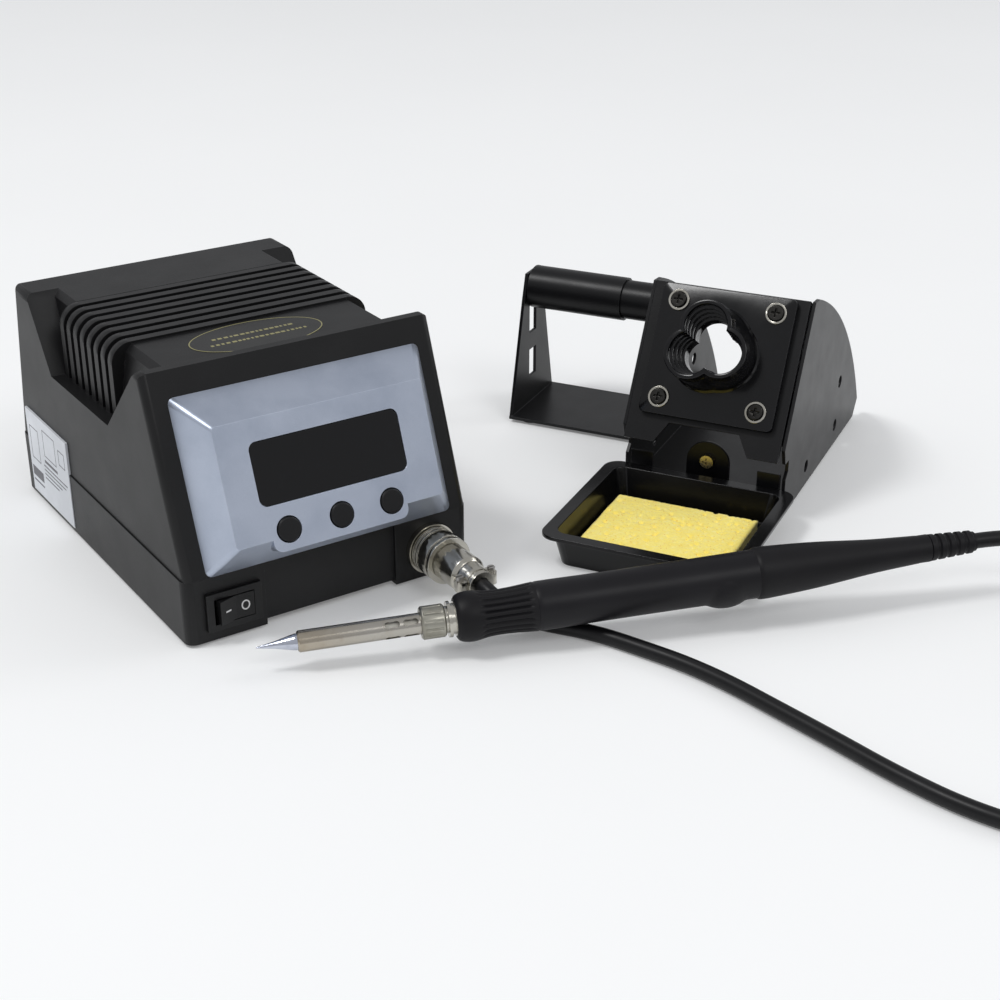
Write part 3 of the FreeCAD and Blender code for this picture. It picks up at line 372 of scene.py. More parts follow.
class Surface:
    """A node-based material that is built up in layers around one principled shader."""

    def __init__(self, name, color, rough, metal=0.0, **sockets):
        self.material = bpy.data.materials.new(name)
        self.material.use_nodes = True
        self.tree = self.material.node_tree
        self.shader = self.tree.nodes["Principled BSDF"]
        self.shader.inputs["Base Color"].default_value = color
        self.shader.inputs["Roughness"].default_value = rough
        self.shader.inputs["Metallic"].default_value = metal
        for label, value in sockets.items():
            self.shader.inputs[SOCKETS[label]].default_value = value
        self.color, self.rough = color, rough
        self.color_out, self.rough_out, self.height = None, None, None
        self.coords = self.node("ShaderNodeTexCoord").outputs["Object"]

    def node(self, kind, **values):
        made = self.tree.nodes.new(kind)
        for label, value in values.items():
            setattr(made, label, value)
        return made

    def link(self, output, target):
        self.tree.links.new(output, target)

    def stretched(self, frame_matrix, scale):
        """Texture coordinates in a piece's own axes, with a scale for each."""
        turn = frame_matrix.to_3x3().inverted().to_euler()
        mapping = self.node("ShaderNodeMapping")
        mapping.inputs["Rotation"].default_value = turn
        self.link(self.coords, mapping.inputs["Vector"])
        scaled = self.node("ShaderNodeVectorMath", operation="MULTIPLY")
        scaled.inputs[1].default_value = scale
        self.link(mapping.outputs["Vector"], scaled.inputs[0])
        return scaled.outputs["Vector"]

    def noise(self, scale, detail, coords=None):
        made = self.node("ShaderNodeTexNoise")
        made.inputs["Scale"].default_value = scale
        made.inputs["Detail"].default_value = detail
        made.inputs["Roughness"].default_value = NOISE_ROUGHNESS
        self.link(coords or self.coords, made.inputs["Vector"])
        return made.outputs["Fac"]

    def cells(self, scale):
        made = self.node("ShaderNodeTexVoronoi", feature="F1")
        made.inputs["Scale"].default_value = scale
        self.link(self.coords, made.inputs["Vector"])
        return made.outputs["Distance"]

    def spread(self, value, low, high, to_low=0.0, to_high=1.0):
        made = self.node("ShaderNodeMapRange")
        made.inputs["From Min"].default_value = low
        made.inputs["From Max"].default_value = high
        made.inputs["To Min"].default_value = to_low
        made.inputs["To Max"].default_value = to_high
        self.link(value, made.inputs["Value"])
        return made.outputs["Result"]

    def tint(self, factor, color, amount=1.0):
        """Mixes a second colour in where the factor is high."""
        mix = self.node("ShaderNodeMix", data_type="RGBA")
        strength = self.spread(factor, 0.0, 1.0, 0.0, amount)
        self.link(strength, mix.inputs["Factor"])
        if self.color_out:
            self.link(self.color_out, mix.inputs[6])
        else:
            mix.inputs[6].default_value = self.color
        mix.inputs[7].default_value = color
        self.color_out = mix.outputs[2]
        return self

    def vary_rough(self, factor, amount):
        """Adds to the roughness where the factor is high and takes away where it is low."""
        if self.rough_out is None:
            self.rough_out = self.spread(factor, 0.0, 1.0, self.rough - amount, self.rough + amount)
        else:
            extra = self.spread(factor, 0.0, 1.0, -amount, amount)
            added = self.node("ShaderNodeMath", operation="ADD")
            self.link(self.rough_out, added.inputs[0])
            self.link(extra, added.inputs[1])
            self.rough_out = added.outputs[0]
        return self

    def raise_by(self, factor, height):
        """Adds relief: the factor times a height in metres."""
        scaled = self.node("ShaderNodeMath", operation="MULTIPLY")
        scaled.inputs[1].default_value = height / MM
        self.link(factor, scaled.inputs[0])
        if self.height:
            added = self.node("ShaderNodeMath", operation="ADD")
            self.link(self.height, added.inputs[0])
            self.link(scaled.outputs[0], added.inputs[1])
            self.height = added.outputs[0]
        else:
            self.height = scaled.outputs[0]
        return self

    def edges(self, radius=0.6 * MM):
        """High where the surface turns sharply, broken up by noise."""
        bevel = self.node("ShaderNodeBevel", samples=4)
        bevel.inputs["Radius"].default_value = radius
        geometry = self.node("ShaderNodeNewGeometry")
        dot = self.node("ShaderNodeVectorMath", operation="DOT_PRODUCT")
        self.link(bevel.outputs["Normal"], dot.inputs[0])
        self.link(geometry.outputs["Normal"], dot.inputs[1])
        # Mask of the sharp edges, used to paint a lighter highlight along them
        edge_highlight = self.spread(dot.outputs["Value"], 0.999, 0.86)
        broken = self.spread(self.noise(900, 4), 0.35, 0.65)
        both = self.node("ShaderNodeMath", operation="MULTIPLY")
        self.link(edge_highlight, both.inputs[0])
        self.link(broken, both.inputs[1])
        return both.outputs[0]

    def done(self):
        if self.color_out:
            self.link(self.color_out, self.shader.inputs["Base Color"])
        if self.rough_out:
            self.link(self.rough_out, self.shader.inputs["Roughness"])
        if self.height:
            bump = self.node("ShaderNodeBump")
            bump.inputs["Strength"].default_value = 1.0
            bump.inputs["Distance"].default_value = MM
            self.link(self.height, bump.inputs["Height"])
            self.link(bump.outputs["Normal"], self.shader.inputs["Normal"])
        return self.material


def moulded(name, color, rough, grain=0.03 * MM, grain_size=0.35 * MM, edge_highlight=None, **sockets):
    """Injection-moulded plastic with a spark-eroded grain, faint mottling and a painted highlight along sharp
    edges.
    """
    s = Surface(name, color, rough, **sockets)
    s.vary_rough(s.noise(60, 4), 0.05)
    s.vary_rough(s.noise(1800, 2), 0.04)
    paler = tuple(min(1, share * 1.5 + 0.004) for share in color[:3]) + (1,)
    s.tint(s.spread(s.noise(35, 5), 0.45, 0.75), paler, 0.5)
    # Painted highlight: the sharp edges are tinted lighter, whichever way they face the light
    if edge_highlight:
        s.tint(s.edges(), edge_highlight, 0.5)
    s.raise_by(s.noise(0.6 / grain_size, 2), grain)
    return s.done()


def metal(name, color, rough, stain, stain_amount=0.4):
    """Plated, drawn or cast metal with a fine grain and a patchy stain."""
    s = Surface(name, color, rough, metal=1.0)
    grain = s.noise(900, 4)
    s.vary_rough(grain, 0.08)
    s.vary_rough(s.noise(150, 4), 0.06)
    s.tint(s.spread(s.noise(120, 5), 0.45, 0.7), stain, stain_amount)
    s.raise_by(grain, 0.006 * MM)
    return s.done()


def make_materials():
    m = {}
    # Case, switch and tray get a lighter painted highlight along their sharp edges
    m["case"] = moulded("case", srgb(15, 15, 16), 0.44, edge_highlight=srgb(40, 40, 42), specular=0.28)
    m["switch"] = moulded("switch", srgb(11, 11, 12), 0.34, 0.008 * MM, edge_highlight=srgb(44, 44, 44), specular=0.3)
    m["button"] = moulded("button", srgb(11, 11, 13), 0.42, 0.012 * MM, specular=0.3)
    m["component"] = moulded("component", srgb(34, 34, 36), 0.5, 0.01 * MM)
    m["insulator"] = moulded("insulator", srgb(48, 40, 34), 0.45, 0.01 * MM)
    m["rubber"] = moulded("rubber", srgb(18, 18, 19), 0.75, 0.03 * MM)
    m["ceramic"] = moulded("ceramic", srgb(224, 220, 208), 0.6, 0.01 * MM)
    m["holder"] = holder_gloss()
    m["tray"] = moulded("tray", srgb(6, 6, 7), 0.2, 0.004 * MM, 1.2 * MM, edge_highlight=srgb(46, 46, 46), specular=0.3)
    m["window"] = window_gloss()
    m["bezel"] = silver_paint()
    m["powder"] = powder_coat()
    m["board"] = moulded("board", srgb(38, 92, 50), 0.4, 0.004 * MM)
    m["label"] = moulded("label", srgb(205, 208, 213), 0.5, 0.003 * MM)
    m["gold_ink"] = moulded("gold_ink", srgb(132, 127, 84), 0.4, 0.003 * MM)
    m["sticker"] = moulded("sticker", srgb(17, 17, 16), 0.36, 0.003 * MM, specular=0.3)
    m["ink"] = moulded("ink", srgb(196, 196, 196), 0.5, 0.003 * MM)
    m["grey_ink"] = moulded("grey_ink", srgb(92, 92, 98), 0.5, 0.003 * MM)
    m["nickel"] = metal("nickel", srgb(188, 185, 176), 0.2, stain=srgb(130, 124, 106))
    m["steel"] = metal("steel", srgb(170, 168, 165), 0.33, stain=srgb(90, 85, 78))
    m["dark_screw"] = metal("dark_screw", srgb(58, 57, 55), 0.28, stain=srgb(20, 19, 18))
    m["brass"] = metal("brass", srgb(196, 184, 146), 0.3, stain=srgb(120, 104, 70))
    m["core"] = metal("core", srgb(92, 90, 88), 0.55, stain=srgb(60, 50, 42), stain_amount=0.7)
    m["copper"] = metal("copper", srgb(190, 108, 60), 0.38, stain=srgb(120, 60, 30))
    m["dull_nut"] = metal("dull_nut", srgb(160, 158, 148), 0.36, stain=srgb(112, 108, 94), stain_amount=0.6)
    m["sleeve"] = sleeve_steel()
    m["tip"] = tip_plating()
    # Painted highlight colour for the sharp edges of the grip and handle
    handle_edge_highlight = srgb(35, 33, 39)
    m["grip"] = moulded("grip", srgb(13, 12, 15), 0.5, 0.015 * MM, 0.3 * MM, edge_highlight=handle_edge_highlight, specular=0.22)
    m["handle"] = moulded("handle", srgb(14, 13, 17), 0.42, 0.01 * MM, 0.4 * MM, edge_highlight=handle_edge_highlight, specular=0.24)
    m["cord"] = cord_jacket()
    m["sponge"] = sponge_cells()
    return m


def holder_gloss():
    s = Surface("holder", srgb(5, 5, 7), 0.2, specular=0.3, coat=0.12, coat_rough=0.06)
    s.vary_rough(s.noise(140, 4), 0.06)
    s.tint(s.spread(s.noise(320, 4), 0.55, 0.8), srgb(20, 20, 24), 0.4)
    # Painted highlight: the sharp edges and step ridges are tinted lighter grey
    s.tint(s.edges(), srgb(70, 70, 74), 0.4)
    s.raise_by(s.noise(260, 3), 0.012 * MM)
    return s.done()


def window_gloss():
    s = Surface("window", srgb(6, 6, 8), 0.12, specular=0.35)
    s.vary_rough(s.noise(80, 5), 0.05)
    s.tint(s.spread(s.noise(240, 5), 0.6, 0.85), srgb(24, 24, 28), 0.4)
    s.raise_by(s.noise(90, 2), 0.004 * MM)
    return s.done()


def silver_paint():
    """Bluish metallic paint: fine flakes under a satin coat, with a painted highlight along the edges."""
    s = Surface("bezel", srgb(168, 177, 195), 0.36, metal=0.8)
    flakes = s.cells(5200)
    s.tint(s.spread(flakes, 0.1, 0.5), srgb(196, 204, 218), 0.55)
    s.tint(s.spread(s.noise(45, 4), 0.45, 0.7), srgb(152, 162, 180), 0.45)
    # Painted highlight: the edges are tinted pale blue-white
    s.tint(s.edges(0.5 * MM), srgb(215, 220, 228), 0.5)
    s.vary_rough(flakes, 0.08)
    s.vary_rough(s.noise(70, 4), 0.05)
    s.raise_by(s.noise(3000, 2), 0.004 * MM)
    return s.done()


def powder_coat():
    s = Surface("powder_coat", srgb(11, 11, 13), 0.36, specular=0.26)
    s.vary_rough(s.noise(90, 4), 0.06)
    s.tint(s.spread(s.noise(60, 5), 0.45, 0.75), srgb(19, 19, 21), 0.6)
    # Painted highlight: the sharp edges and folds are tinted lighter grey
    s.tint(s.edges(), srgb(70, 70, 74), 0.45)
    s.raise_by(s.noise(1500, 3), 0.02 * MM)
    s.raise_by(s.cells(1100), 0.012 * MM)
    return s.done()


def sleeve_steel():
    """Drawn stainless tube, straw-coloured from heat towards the tip."""
    s = Surface("sleeve", srgb(178, 174, 166), 0.22, metal=1.0)
    drawn = s.noise(1.0, 3, coords=s.stretched(IRON, (60, 2600, 2600)))
    s.vary_rough(drawn, 0.09)
    local = s.stretched(IRON, (1, 1, 1))
    along = s.node("ShaderNodeSeparateXYZ")
    s.link(local, along.inputs[0])
    start = (IRON.to_3x3().inverted() @ IRON_ORIGIN).x
    heat = s.spread(along.outputs[0], start + 26 * MM, start)
    s.tint(heat, srgb(170, 154, 128), 0.5)
    s.tint(s.spread(s.noise(160, 5), 0.5, 0.8), srgb(140, 124, 100), 0.4)
    s.raise_by(drawn, 0.004 * MM)
    return s.done()


def tip_plating():
    s = Surface("tip", srgb(198, 202, 214), 0.18, metal=1.0)
    s.vary_rough(s.noise(420, 4), 0.12)
    s.tint(s.spread(s.noise(260, 5), 0.5, 0.75), srgb(120, 126, 146), 0.5)
    s.raise_by(s.noise(700, 3), 0.02 * MM)
    return s.done()


def cord_jacket():
    s = Surface("cord", srgb(10, 10, 12), 0.4, specular=0.28)
    s.vary_rough(s.noise(160, 4), 0.08)
    s.tint(s.spread(s.noise(90, 5), 0.45, 0.75), srgb(24, 24, 26), 0.45)
    s.raise_by(s.noise(1300, 3), 0.015 * MM)
    return s.done()


def sponge_cells():
    s = Surface("sponge", srgb(255, 236, 122), 0.9, sheen=0.3)
    s.tint(s.spread(s.noise(120, 5), 0.4, 0.7), srgb(255, 224, 92), 0.5)
    s.tint(s.spread(s.noise(700, 4), 0.5, 0.72), srgb(255, 246, 170), 0.6)
    # Painted shade: darker orange spots stand for the shaded insides of the pores
    s.tint(s.spread(s.cells(520), 0.22, 0.05), srgb(226, 158, 40), 0.75)
    s.raise_by(s.noise(1500, 4), 0.12 * MM)
    s.raise_by(s.cells(900), 0.12 * MM)
    return s.done()


MATERIALS = make_materials()

NODE_MATERIALS = {
    "case": ["base_shell", "top_cover"],
    "switch": ["switch_housing", "power_rocker", "mains_inlet", "fuse_holder"],
    "button": ["button_left", "button_middle", "button_right"],
    "component": ["display_module", "tact_switches", "power_components"],
    "insulator": ["socket_insert", "plug_insert"],
    "rubber": ["station_feet", "stand_feet"],
    "ceramic": ["heater"],
    "holder": ["iron_holder"],
    "tray": ["sponge_tray"],
    "window": ["display_window"],
    "bezel": ["front_bezel"],
    "powder": ["stand_frame", "stand_panel", "reel_bracket", "reel_spindle_outer", "reel_spindle_inner"],
    "board": ["control_board", "main_board", "terminal_board"],
    "label": ["rating_label"],
    "nickel": [
        "socket_body", "socket_nut", "plug_ring", "plug_shell", "plug_clamp", "holder_washers", "nose_bush",
    ],
    "steel": ["transformer_screws", "case_screws", "plug_screws"],
    "dark_screw": ["holder_screws"],
    "brass": ["ear_screw"],
    "core": ["transformer_core"],
    "copper": ["transformer_windings"],
    "dull_nut": ["barrel_nut"],
    "sleeve": ["tip_sleeve"],
    "tip": ["iron_tip"],
    "grip": ["front_grip", "rear_sleeve", "strain_relief"],
    "handle": ["handle_body"],
    "cord": ["cord_coil", "cord_iron_run", "cord_plug_run"],
    "sponge": ["sponge"],
}


def dress_nodes():
    for key, names in NODE_MATERIALS.items():
        for name in names:
            slots = NODES[name].data.materials
            slots.clear()
            slots.append(MATERIALS[key])


def soften(name, width):
    """Rounds a CAD node's edges with modifiers, and leaves its mesh as it is."""
    thing = NODES[name]
    weld = thing.modifiers.new("weld", "WELD")
    weld.merge_threshold = 0.002 * MM
    flat = thing.modifiers.new("flat", "DECIMATE")
    flat.decimate_type = "DISSOLVE"
    flat.angle_limit = math.radians(0.5)
    bevel = thing.modifiers.new("bevel", "BEVEL")
    bevel.width = width
    bevel.segments = 2
    bevel.limit_method = "ANGLE"
    bevel.angle_limit = math.radians(32)
    bevel.harden_normals = True


# Edge rounding in millimetres
SOFT_EDGES = {
    "top_cover": 0.7, "base_shell": 0.5, "front_bezel": 0.6, "switch_housing": 0.4,
    "power_rocker": 0.35, "button_left": 0.5, "button_middle": 0.5, "button_right": 0.5,
    "stand_frame": 0.3, "stand_panel": 0.3, "reel_bracket": 0.35, "sponge_tray": 0.4,
    "display_window": 0.2, "barrel_nut": 0.2, "holder_washers": 0.15, "holder_screws": 0.3,
    "plug_ring": 0.15, "plug_shell": 0.15, "plug_clamp": 0.25,
}

dress_nodes()
for node, width in SOFT_EDGES.items():
    soften(node, width * MM)
make_cords(MATERIALS["cord"])


# ------------------------------------------------------------ iron handle


GRIP_RIBS = 22
GRIP_FLUTED = (65.0, 85.3)
LUG_START, LUG_END = 148.6, 166.6
LUG_OFF_AXIS = 1.9
LUG_ANGLE = math.atan2(-0.893, -0.45)
COLLAR_END, COLLAR_RADIUS = 238.8, 5.25
RELIEF_RINGS = 5


def grip_radius():
    outline = curve_through([(GRIP_START, 7.2), (57.7, 8.35), (60.8, 9.2), (64.0, 9.15), (67.8, 8.5),
                             (71.8, 8.25), (77.8, 8.4), (84.3, 8.9), (GRIP_END, 9.05)])

    def radius_at(place, angle):
        fade = min(eased((place - GRIP_FLUTED[0]) / 2.5), eased((GRIP_FLUTED[1] - place) / 2.0))
        groove = abs(math.cos(GRIP_RIBS / 2 * angle)) ** 5
        return outline(place) - 0.75 * fade * groove

    return radius_at


def handle_radius():
    outline = curve_through([(GRIP_END, 8.75), (87.1, 9.1), (111.3, 8.95), (141.3, 8.98), (163.6, 9.1),
                             (HANDLE_END, 9.15)])
    lug = curve_through([(LUG_START, 6.5), (153.6, 8.6), (157.6, 9.1), (161.6, 8.6), (LUG_END, 6.5)])

    def radius_at(place, angle):
        radius = outline(place)
        if LUG_START < place < LUG_END:
            away = angle - LUG_ANGLE
            across = lug(place) ** 2 - (LUG_OFF_AXIS * math.sin(away)) ** 2
            radius = max(radius, LUG_OFF_AXIS * math.cos(away) + math.sqrt(max(across, 0)))
        return radius

    return radius_at


def rear_radius():
    outline = curve_through([(HANDLE_END, 9.0), (170.2, 9.55), (172.0, 9.75), (175.6, 9.68), (193.6, 8.6),
                             (215.6, 6.5), (231.2, 5.5), (SLEEVE_END, 5.35)])
    return lambda place, angle: outline(place)


def relief_radius(place, angle):
    """A collar, then five rings on a core that tapers to the cord."""
    along = (place - COLLAR_END) / ((RELIEF_END - COLLAR_END) / RELIEF_RINGS)
    if along < 0:
        return COLLAR_RADIUS
    ring = math.floor(along)
    core = 4.35 - 0.12 * along
    inside = along - ring
    raised = eased(inside / 0.1) * eased((0.72 - inside) / 0.1)
    return core + raised * (0.8 - 0.06 * ring)


def make_iron_pieces():
    grip = round_piece("grip_sleeve", steps(GRIP_START, GRIP_END, 0.7), grip_radius(), sides=264)
    stand_in("grip_sleeve", grip, MATERIALS["grip"], "iron", "grip_rubber", "front_grip")
    shell = round_piece("handle_shell", steps(GRIP_END, HANDLE_END, 1.0), handle_radius(), sides=128)
    stand_in("handle_shell", shell, MATERIALS["handle"], "iron", "handle_black", "handle_body")
    rear = round_piece("rear_boot", steps(HANDLE_END, SLEEVE_END, 0.8), rear_radius())
    stand_in("rear_boot", rear, MATERIALS["grip"], "iron", "grip_rubber", "rear_sleeve")
    relief = round_piece("cord_relief", steps(SLEEVE_END, RELIEF_END, 0.25), relief_radius)
    stand_in("cord_relief", relief, MATERIALS["grip"], "iron", "grip_rubber", "strain_relief")


# ------------------------------------------------------------ funnel on the holder plate


LOBE_TURNS = (100, 220, 340)
PLATE_X, PLATE_Y, PLATE_CORNER = (-28.0, 30.0), (-29.5, 26.5), 2.5
PLATE_THICK = 3.0
FUNNEL_HIGH = 21.0
# Three-lobed outlines: how far each lobe's middle is from the funnel's, and the lobe's radius
THROAT, MOUTH, RIM, SKIRT = (5.0, 7.75), (7.4, 8.9), (7.4, 10.9), (7.0, 11.45)
SKIRT_TOP = 16.0
FOOT_RADIUS = 17.6
FUNNEL_STEPS = 5
STEPS_LOW, STEPS_HIGH = 3.4, 20.6
FUNNEL_SIDES = 288


def lobed(turn, reach, lobe):
    """Distance from the middle to a three-lobed outline, at an angle in degrees."""
    away = min(abs((turn - middle + 180) % 360 - 180) for middle in LOBE_TURNS)
    slant = math.radians(away)
    return reach * math.cos(slant) + math.sqrt(lobe**2 - (reach * math.sin(slant)) ** 2)


def plate_edge(turn, inset):
    """Distance from the funnel's middle to the rounded outline of the plate."""
    way = Vector((math.cos(math.radians(turn)), math.sin(math.radians(turn))))
    near, far = 10.0, 60.0
    corner = PLATE_CORNER - inset / 2
    middle = ((PLATE_X[0] + PLATE_X[1]) / 2, (PLATE_Y[0] + PLATE_Y[1]) / 2)
    half = ((PLATE_X[1] - PLATE_X[0]) / 2 - inset, (PLATE_Y[1] - PLATE_Y[0]) / 2 - inset)
    for _ in range(30):
        reach = (near + far) / 2
        over_x = abs(way.x * reach - middle[0]) - half[0] + corner
        over_y = abs(way.y * reach - middle[1]) - half[1] + corner
        gap = math.hypot(max(over_x, 0), max(over_y, 0)) + min(max(over_x, over_y), 0) - corner
        near, far = (near, reach) if gap > 0 else (reach, far)
    return near


def skirt(turn, height):
    """The funnel's outside, which turns from three lobes near the rim to a round foot on the plate."""
    share = (SKIRT_TOP - height) / (SKIRT_TOP - PLATE_THICK)
    foot = 1.1 * eased((4.6 - height) / 1.6) ** 2
    lobes = lobed(turn, SKIRT[0] - share, SKIRT[1] + share)
    return (1 - 0.55 * share) * lobes + 0.55 * share * FOOT_RADIUS + foot


def funnel_rings():
    """(radius at an angle, height) from the back of the hole, over the rim, down to the plate's back edge."""
    rings = [(lambda turn: lobed(turn, *THROAT), 0.0)]
    for i in range(FUNNEL_STEPS):
        share = i / (FUNNEL_STEPS - 1)
        size = tuple(narrow + (wide - narrow) * share for narrow, wide in zip(THROAT, MOUTH))
        low = STEPS_LOW + (STEPS_HIGH - STEPS_LOW) * i / FUNNEL_STEPS
        high = STEPS_LOW + (STEPS_HIGH - STEPS_LOW) * (i + 1) / FUNNEL_STEPS
        rings.append((lambda turn, size=size: lobed(turn, *size) + 0.15, low))
        rings.append((lambda turn, size=size: lobed(turn, *size), low + 0.25))
        rings.append((lambda turn, size=size: lobed(turn, *size), high - 0.3))
    rings.append((lambda turn: lobed(turn, *MOUTH) + 0.15, FUNNEL_HIGH - 0.25))
    rings.append((lambda turn: lobed(turn, *MOUTH) + 0.5, FUNNEL_HIGH))
    rings.append((lambda turn: lobed(turn, *RIM) - 0.5, FUNNEL_HIGH))
    rings.append((lambda turn: lobed(turn, *RIM) - 0.1, FUNNEL_HIGH - 0.2))
    rings.append((lambda turn: lobed(turn, *RIM), FUNNEL_HIGH - 0.6))
    for i, low in enumerate((18.4, 16.4)):
        above = (RIM[0] - 0.2 * i, RIM[1] + 0.25 * i)
        below = (RIM[0] - 0.2 - 0.2 * i, RIM[1] + 0.25 + 0.3 * i)
        rings.append((lambda turn, size=above: lobed(turn, *size), low + 0.5))
        rings.append((lambda turn, size=below: lobed(turn, *size) + 0.1, low))
        rings.append((lambda turn, size=below: lobed(turn, *size) + 0.12, low - 0.3))
    for height in (14.0, 11.0, 8.0, 5.5, 4.4, 3.7, 3.2, PLATE_THICK):
        rings.append((lambda turn, height=height: skirt(turn, height), height))
    rings.append((lambda turn: plate_edge(turn, 0.5), PLATE_THICK))
    rings.append((lambda turn: plate_edge(turn, 0.15), PLATE_THICK - 0.15))
    rings.append((lambda turn: plate_edge(turn, 0.0), PLATE_THICK - 0.5))
    rings.append((lambda turn: plate_edge(turn, 0.0), 0.0))
    return rings


def make_funnel():
    rings = funnel_rings()
    points = []
    for radius_at, height in rings:
        for j in range(FUNNEL_SIDES):
            turn = 360 * j / FUNNEL_SIDES
            radius = radius_at(turn)
            flat = (radius * math.cos(math.radians(turn)), radius * math.sin(math.radians(turn)), height)
            points.append(HOLDER @ (Vector(flat) * MM))
    mesh = mesh_from("holder_funnel", points, ring_faces(len(rings), FUNNEL_SIDES, closed=True), sharp=40)
    stand_in("holder_funnel", mesh, MATERIALS["holder"], "stand", "holder_black", "iron_holder")


# ------------------------------------------------------------ sponge


SPONGE_X, SPONGE_Y, SPONGE_Z = (-30.5, 30.5), (-66.5, -17.5), (2.6, 8.2)
SPONGE_GRID = 0.55
# Pitch in millimetres, width as a share of the pitch, depth in millimetres
PORES = ((4.6, 0.34, 1.3), (2.6, 0.30, 0.7), (1.7, 0.3, 0.35))


def sponge_height(x, y):
    """A torn, open-celled top: fine grain, slow swells, and scattered pores of three sizes."""
    edge = min(x - SPONGE_X[0], SPONGE_X[1] - x, y - SPONGE_Y[0], SPONGE_Y[1] - y)
    height = SPONGE_Z[1] - 0.25 + 0.25 * noise.noise(Vector((x / 9, y / 9, 3)))
    height += 0.16 * noise.noise(Vector((x / 1.3, y / 1.3, 7)))
    for pitch, width, depth in PORES:
        near = noise.voronoi(Vector((x / pitch, y / pitch, 5 * pitch)))[0][0]
        height -= depth * eased((width - near) / width * 1.4)
    return height - 0.9 * (1 - eased(edge / 1.3)) ** 2


def make_sponge():
    across = steps(*SPONGE_X, SPONGE_GRID)
    deep = steps(*SPONGE_Y, SPONGE_GRID)
    columns, rows = len(across), len(deep)
    points = [Vector((x, y, sponge_height(x, y))) for y in deep for x in across]
    faces = []
    for j in range(rows - 1):
        for i in range(columns - 1):
            a = j * columns + i
            faces.append((a, a + 1, a + columns + 1, a + columns))
    loop = list(range(columns)) + [j * columns + columns - 1 for j in range(1, rows)]
    loop += [(rows - 1) * columns + i for i in range(columns - 2, -1, -1)]
    loop += [j * columns for j in range(rows - 2, 0, -1)]
    middle = Vector((sum(SPONGE_X) / 2, sum(SPONGE_Y) / 2, 0))
    above = loop
    for level in (6.6, 5.6, 4.6, 3.6, SPONGE_Z[0]):
        ring = []
        for index in loop:
            spot = points[index]
            inwards = (middle - spot) * Vector((1, 1, 0))
            ragged = 0.25 + 0.5 * noise.noise(Vector((spot.x / 1.8, spot.y / 1.8, level / 1.4)))
            ring.append(len(points))
            points.append(Vector((spot.x, spot.y, level)) + inwards.normalized() * ragged)
        for i in range(len(loop)):
            faces.append((above[i], ring[i], ring[(i + 1) % len(loop)], above[(i + 1) % len(loop)]))
        above = ring
    faces.append(tuple(above))
    mesh = mesh_from("wiping_sponge", [STAND @ (point * MM) for point in points], faces, sharp=180)
    sponge = stand_in("wiping_sponge", mesh, MATERIALS["sponge"], "sponge_pad", "sponge_yellow", "sponge")


# ------------------------------------------------------------ printed marks


def flat_outline(outer, inner=None, thick=0.12):
    """A thin raised print in millimetres: a filled outline, or the ring between two of the same length."""
    count = len(outer)
    loops = [outer] if inner is None else [outer, inner]
    points = [Vector((x, y, z)) for z in (0, thick) for loop in loops for x, y in loop]
    faces = []
    if inner is None:
        faces = [tuple(range(count)), tuple(range(count, 2 * count))]
        for i in range(count):
            k = (i + 1) % count
            faces.append((i, k, count + k, count + i))
        return points, faces
    for i in range(count):
        k = (i + 1) % count
        faces.append((i, k, count + k, count + i))
        faces.append((2 * count + i, 2 * count + k, 3 * count + k, 3 * count + i))
        faces.append((i, k, 2 * count + k, 2 * count + i))
        faces.append((count + i, count + k, 3 * count + k, 3 * count + i))
    return points, faces


def ellipse(wide, high):
    sides = 96
    turns = [2 * math.pi * i / sides for i in range(sides)]
    return [(wide * math.cos(turn), high * math.sin(turn)) for turn in turns]


def bar(x, y, wide, high):
    return [(x - wide / 2, y - high / 2), (x + wide / 2, y - high / 2), (x + wide / 2, y + high / 2),
            (x - wide / 2, y + high / 2)]


def printed(name, place, shapes, material, body, slot):
    """One piece from several thin shapes, each a (points, faces) pair in the place's own XY."""
    points, faces = [], []
    for shape_points, shape_faces in shapes:
        first = len(points)
        points += [place @ (point * MM) for point in shape_points]
        faces += [tuple(index + first for index in face) for face in shape_faces]
    return stand_in(name, mesh_from(name, points, faces), material, body, slot)


BADGE_SPOT = Vector((-2.2, 49.6, 94.98))
BADGE_HALF = (27.0, 14.5)
BADGE_LINE = 0.45
BADGE_FILM, BADGE_INK, LABEL_INK = 0.1, 0.14, 0.05
LABEL_SPOT = Vector((-60.33, 135.5, 22.0))
ROCKER_SPOT = Vector((-41.5, 1.5, 13.2))
ROCKER_TILT = math.radians(8.0)
FACET_SLOPE = math.atan2(1.2, 7.2)


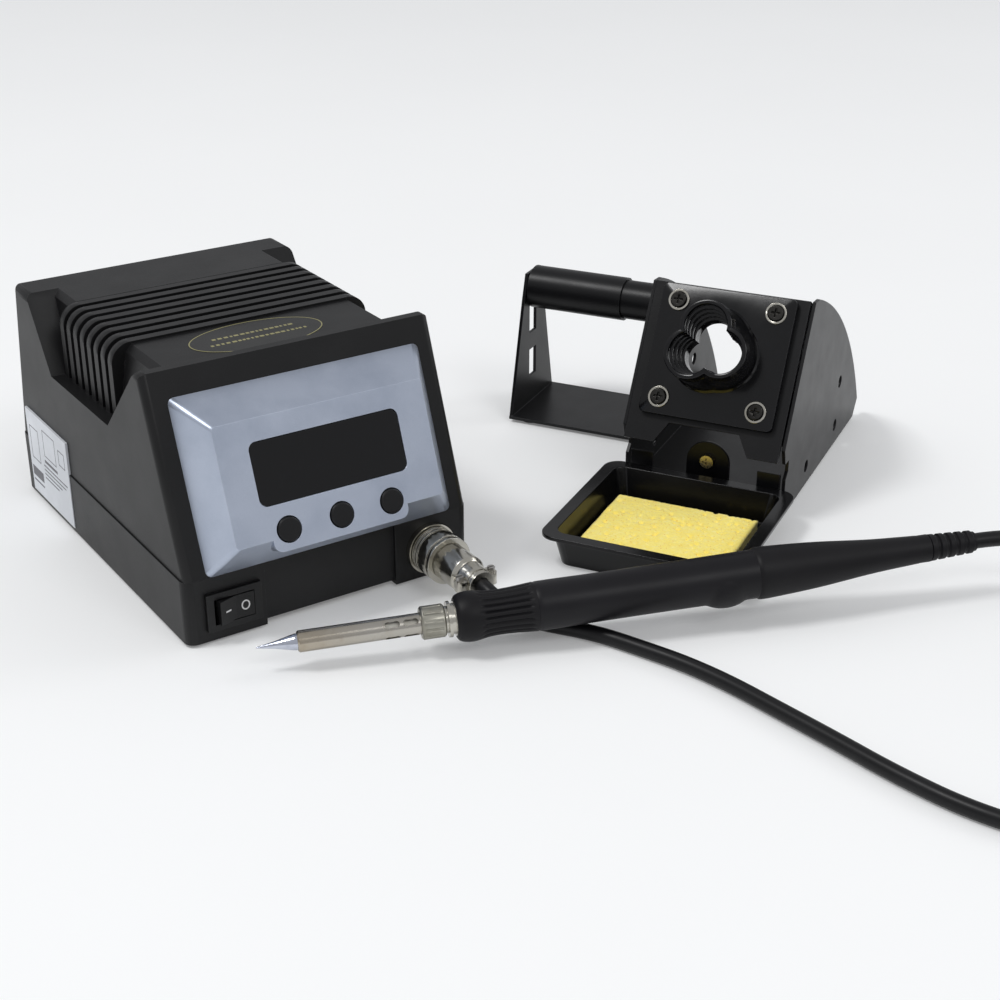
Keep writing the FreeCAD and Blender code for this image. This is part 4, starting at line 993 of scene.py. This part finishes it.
def make_prints():
    badge = STATION @ Matrix.Translation(BADGE_SPOT * MM)
    inner = ellipse(BADGE_HALF[0] - BADGE_LINE, BADGE_HALF[1] - BADGE_LINE)
    gold = [flat_outline(ellipse(*BADGE_HALF), inner, BADGE_INK)]
    chance = random.Random(5)
    for row, left, right in ((2.9, -17.0, 17.0), (-2.9, -20.0, 20.0)):
        x = left
        while x < right:
            wide = chance.uniform(0.9, 1.9)
            gold.append(flat_outline(bar(x + wide / 2, row, wide, 1.5), thick=BADGE_INK))
            x += wide + chance.uniform(0.5, 0.9)
    printed("badge_outline", badge, gold, MATERIALS["gold_ink"], "station", "screw_brass")
    film = [flat_outline(ellipse(*BADGE_HALF), thick=BADGE_FILM)]
    printed("badge_sticker", badge, film, MATERIALS["sticker"], "station", "label_paper")
    rocker = STATION @ Matrix.Translation(ROCKER_SPOT * MM) @ Matrix.Rotation(ROCKER_TILT, 4, "Z")
    for name, side, shape in (
        ("off_mark", 1, flat_outline(ellipse(1.7, 2.0), ellipse(1.2, 1.5))),
        ("on_mark", -1, flat_outline(bar(0, 0, 2.4, 0.6))),
    ):
        facet = Matrix.Translation(Vector((3.7 * side, -3.82, 0)) * MM)
        facet = facet @ Matrix.Rotation(-side * FACET_SLOPE, 4, "Z")
        upright = Matrix.Rotation(math.pi / 2, 4, "X")
        printed(name, rocker @ facet @ upright, [shape], MATERIALS["ink"], "rocker", "label_paper")
    side = frame_at(STATION @ (LABEL_SPOT * MM), (0, -1, 0), (-1, 0, 0))
    rules = [bar(-15.7, -9.3, 12.7, 4.4), bar(-15.7, -13.6, 12.0, 0.8), bar(2.4, 0.6, 15.0, 1.3)]
    for i, wide in enumerate((27.0, 25.0, 20.0, 16.0)):
        rules.append(bar(-6.5 + wide / 2, -1.8 - 1.9 * i, wide, 0.6))
    marks = [flat_outline(rule, thick=LABEL_INK) for rule in rules]
    for x, y, wide, high in ((-15.5, 4.5, 10.0, 15.0), (2.4, 9.0, 14.0, 12.0), (16.5, 9.0, 7.0, 7.0)):
        hollow = bar(x, y, wide - 0.8, high - 0.8)
        marks.append(flat_outline(bar(x, y, wide, high), hollow, LABEL_INK))
    printed("label_rules", side, marks, MATERIALS["grey_ink"], "station", "label_paper")


make_iron_pieces()
make_funnel()
make_sponge()
make_prints()


# ------------------------------------------------------------ floor and light


def make_floor():
    half = 4.0
    corners = [(-half, -half, 0), (half, -half, 0), (half, half, 0), (-half, half, 0)]
    mesh = mesh_from("floor", corners, [(0, 1, 2, 3)])
    s = Surface("floor", srgb(231, 232, 232), 0.7, glow=0.17)
    s.shader.inputs["Emission Color"].default_value = srgb(240, 240, 240)
    s.tint(s.spread(s.noise(3, 3), 0.4, 0.6), srgb(229, 230, 230), 0.5)
    s.vary_rough(s.noise(20, 2), 0.05)
    s.raise_by(s.noise(400, 2), 0.005 * MM)
    floor = mesh_object("floor", mesh, s.done())


def area_light(name, place, target, size, power):
    light = bpy.data.lights.new(name, "AREA")
    light.shape = "RECTANGLE"
    light.size, light.size_y = size
    light.energy = power
    thing = bpy.data.objects.new(name, light)
    thing.location = place
    thing.rotation_euler = (Vector(target) - Vector(place)).to_track_quat("-Z", "Y").to_euler()
    SCENE.collection.objects.link(thing)


def make_light():
    """A pale sky all round, and three soft boxes."""
    world = bpy.data.worlds.new("studio")
    world.use_nodes = True
    sky = world.node_tree.nodes["Background"]
    sky.inputs["Color"].default_value = srgb(242, 243, 246)
    sky.inputs["Strength"].default_value = 0.6
    SCENE.world = world
    area_light("key", (-1.2, 0.3, 2.2), (0, 0, 0), (0.6, 0.6), 22.0)
    area_light("front", (0.1, -2.0, 2.0), (0, -0.05, 0.04), (1.2, 0.8), 11.0)
    area_light("right", (2.0, -0.6, 1.2), (0.05, 0, 0), (0.8, 0.8), 7.0)
    SCENE.view_settings.view_transform = "Standard"


make_floor()
make_light()
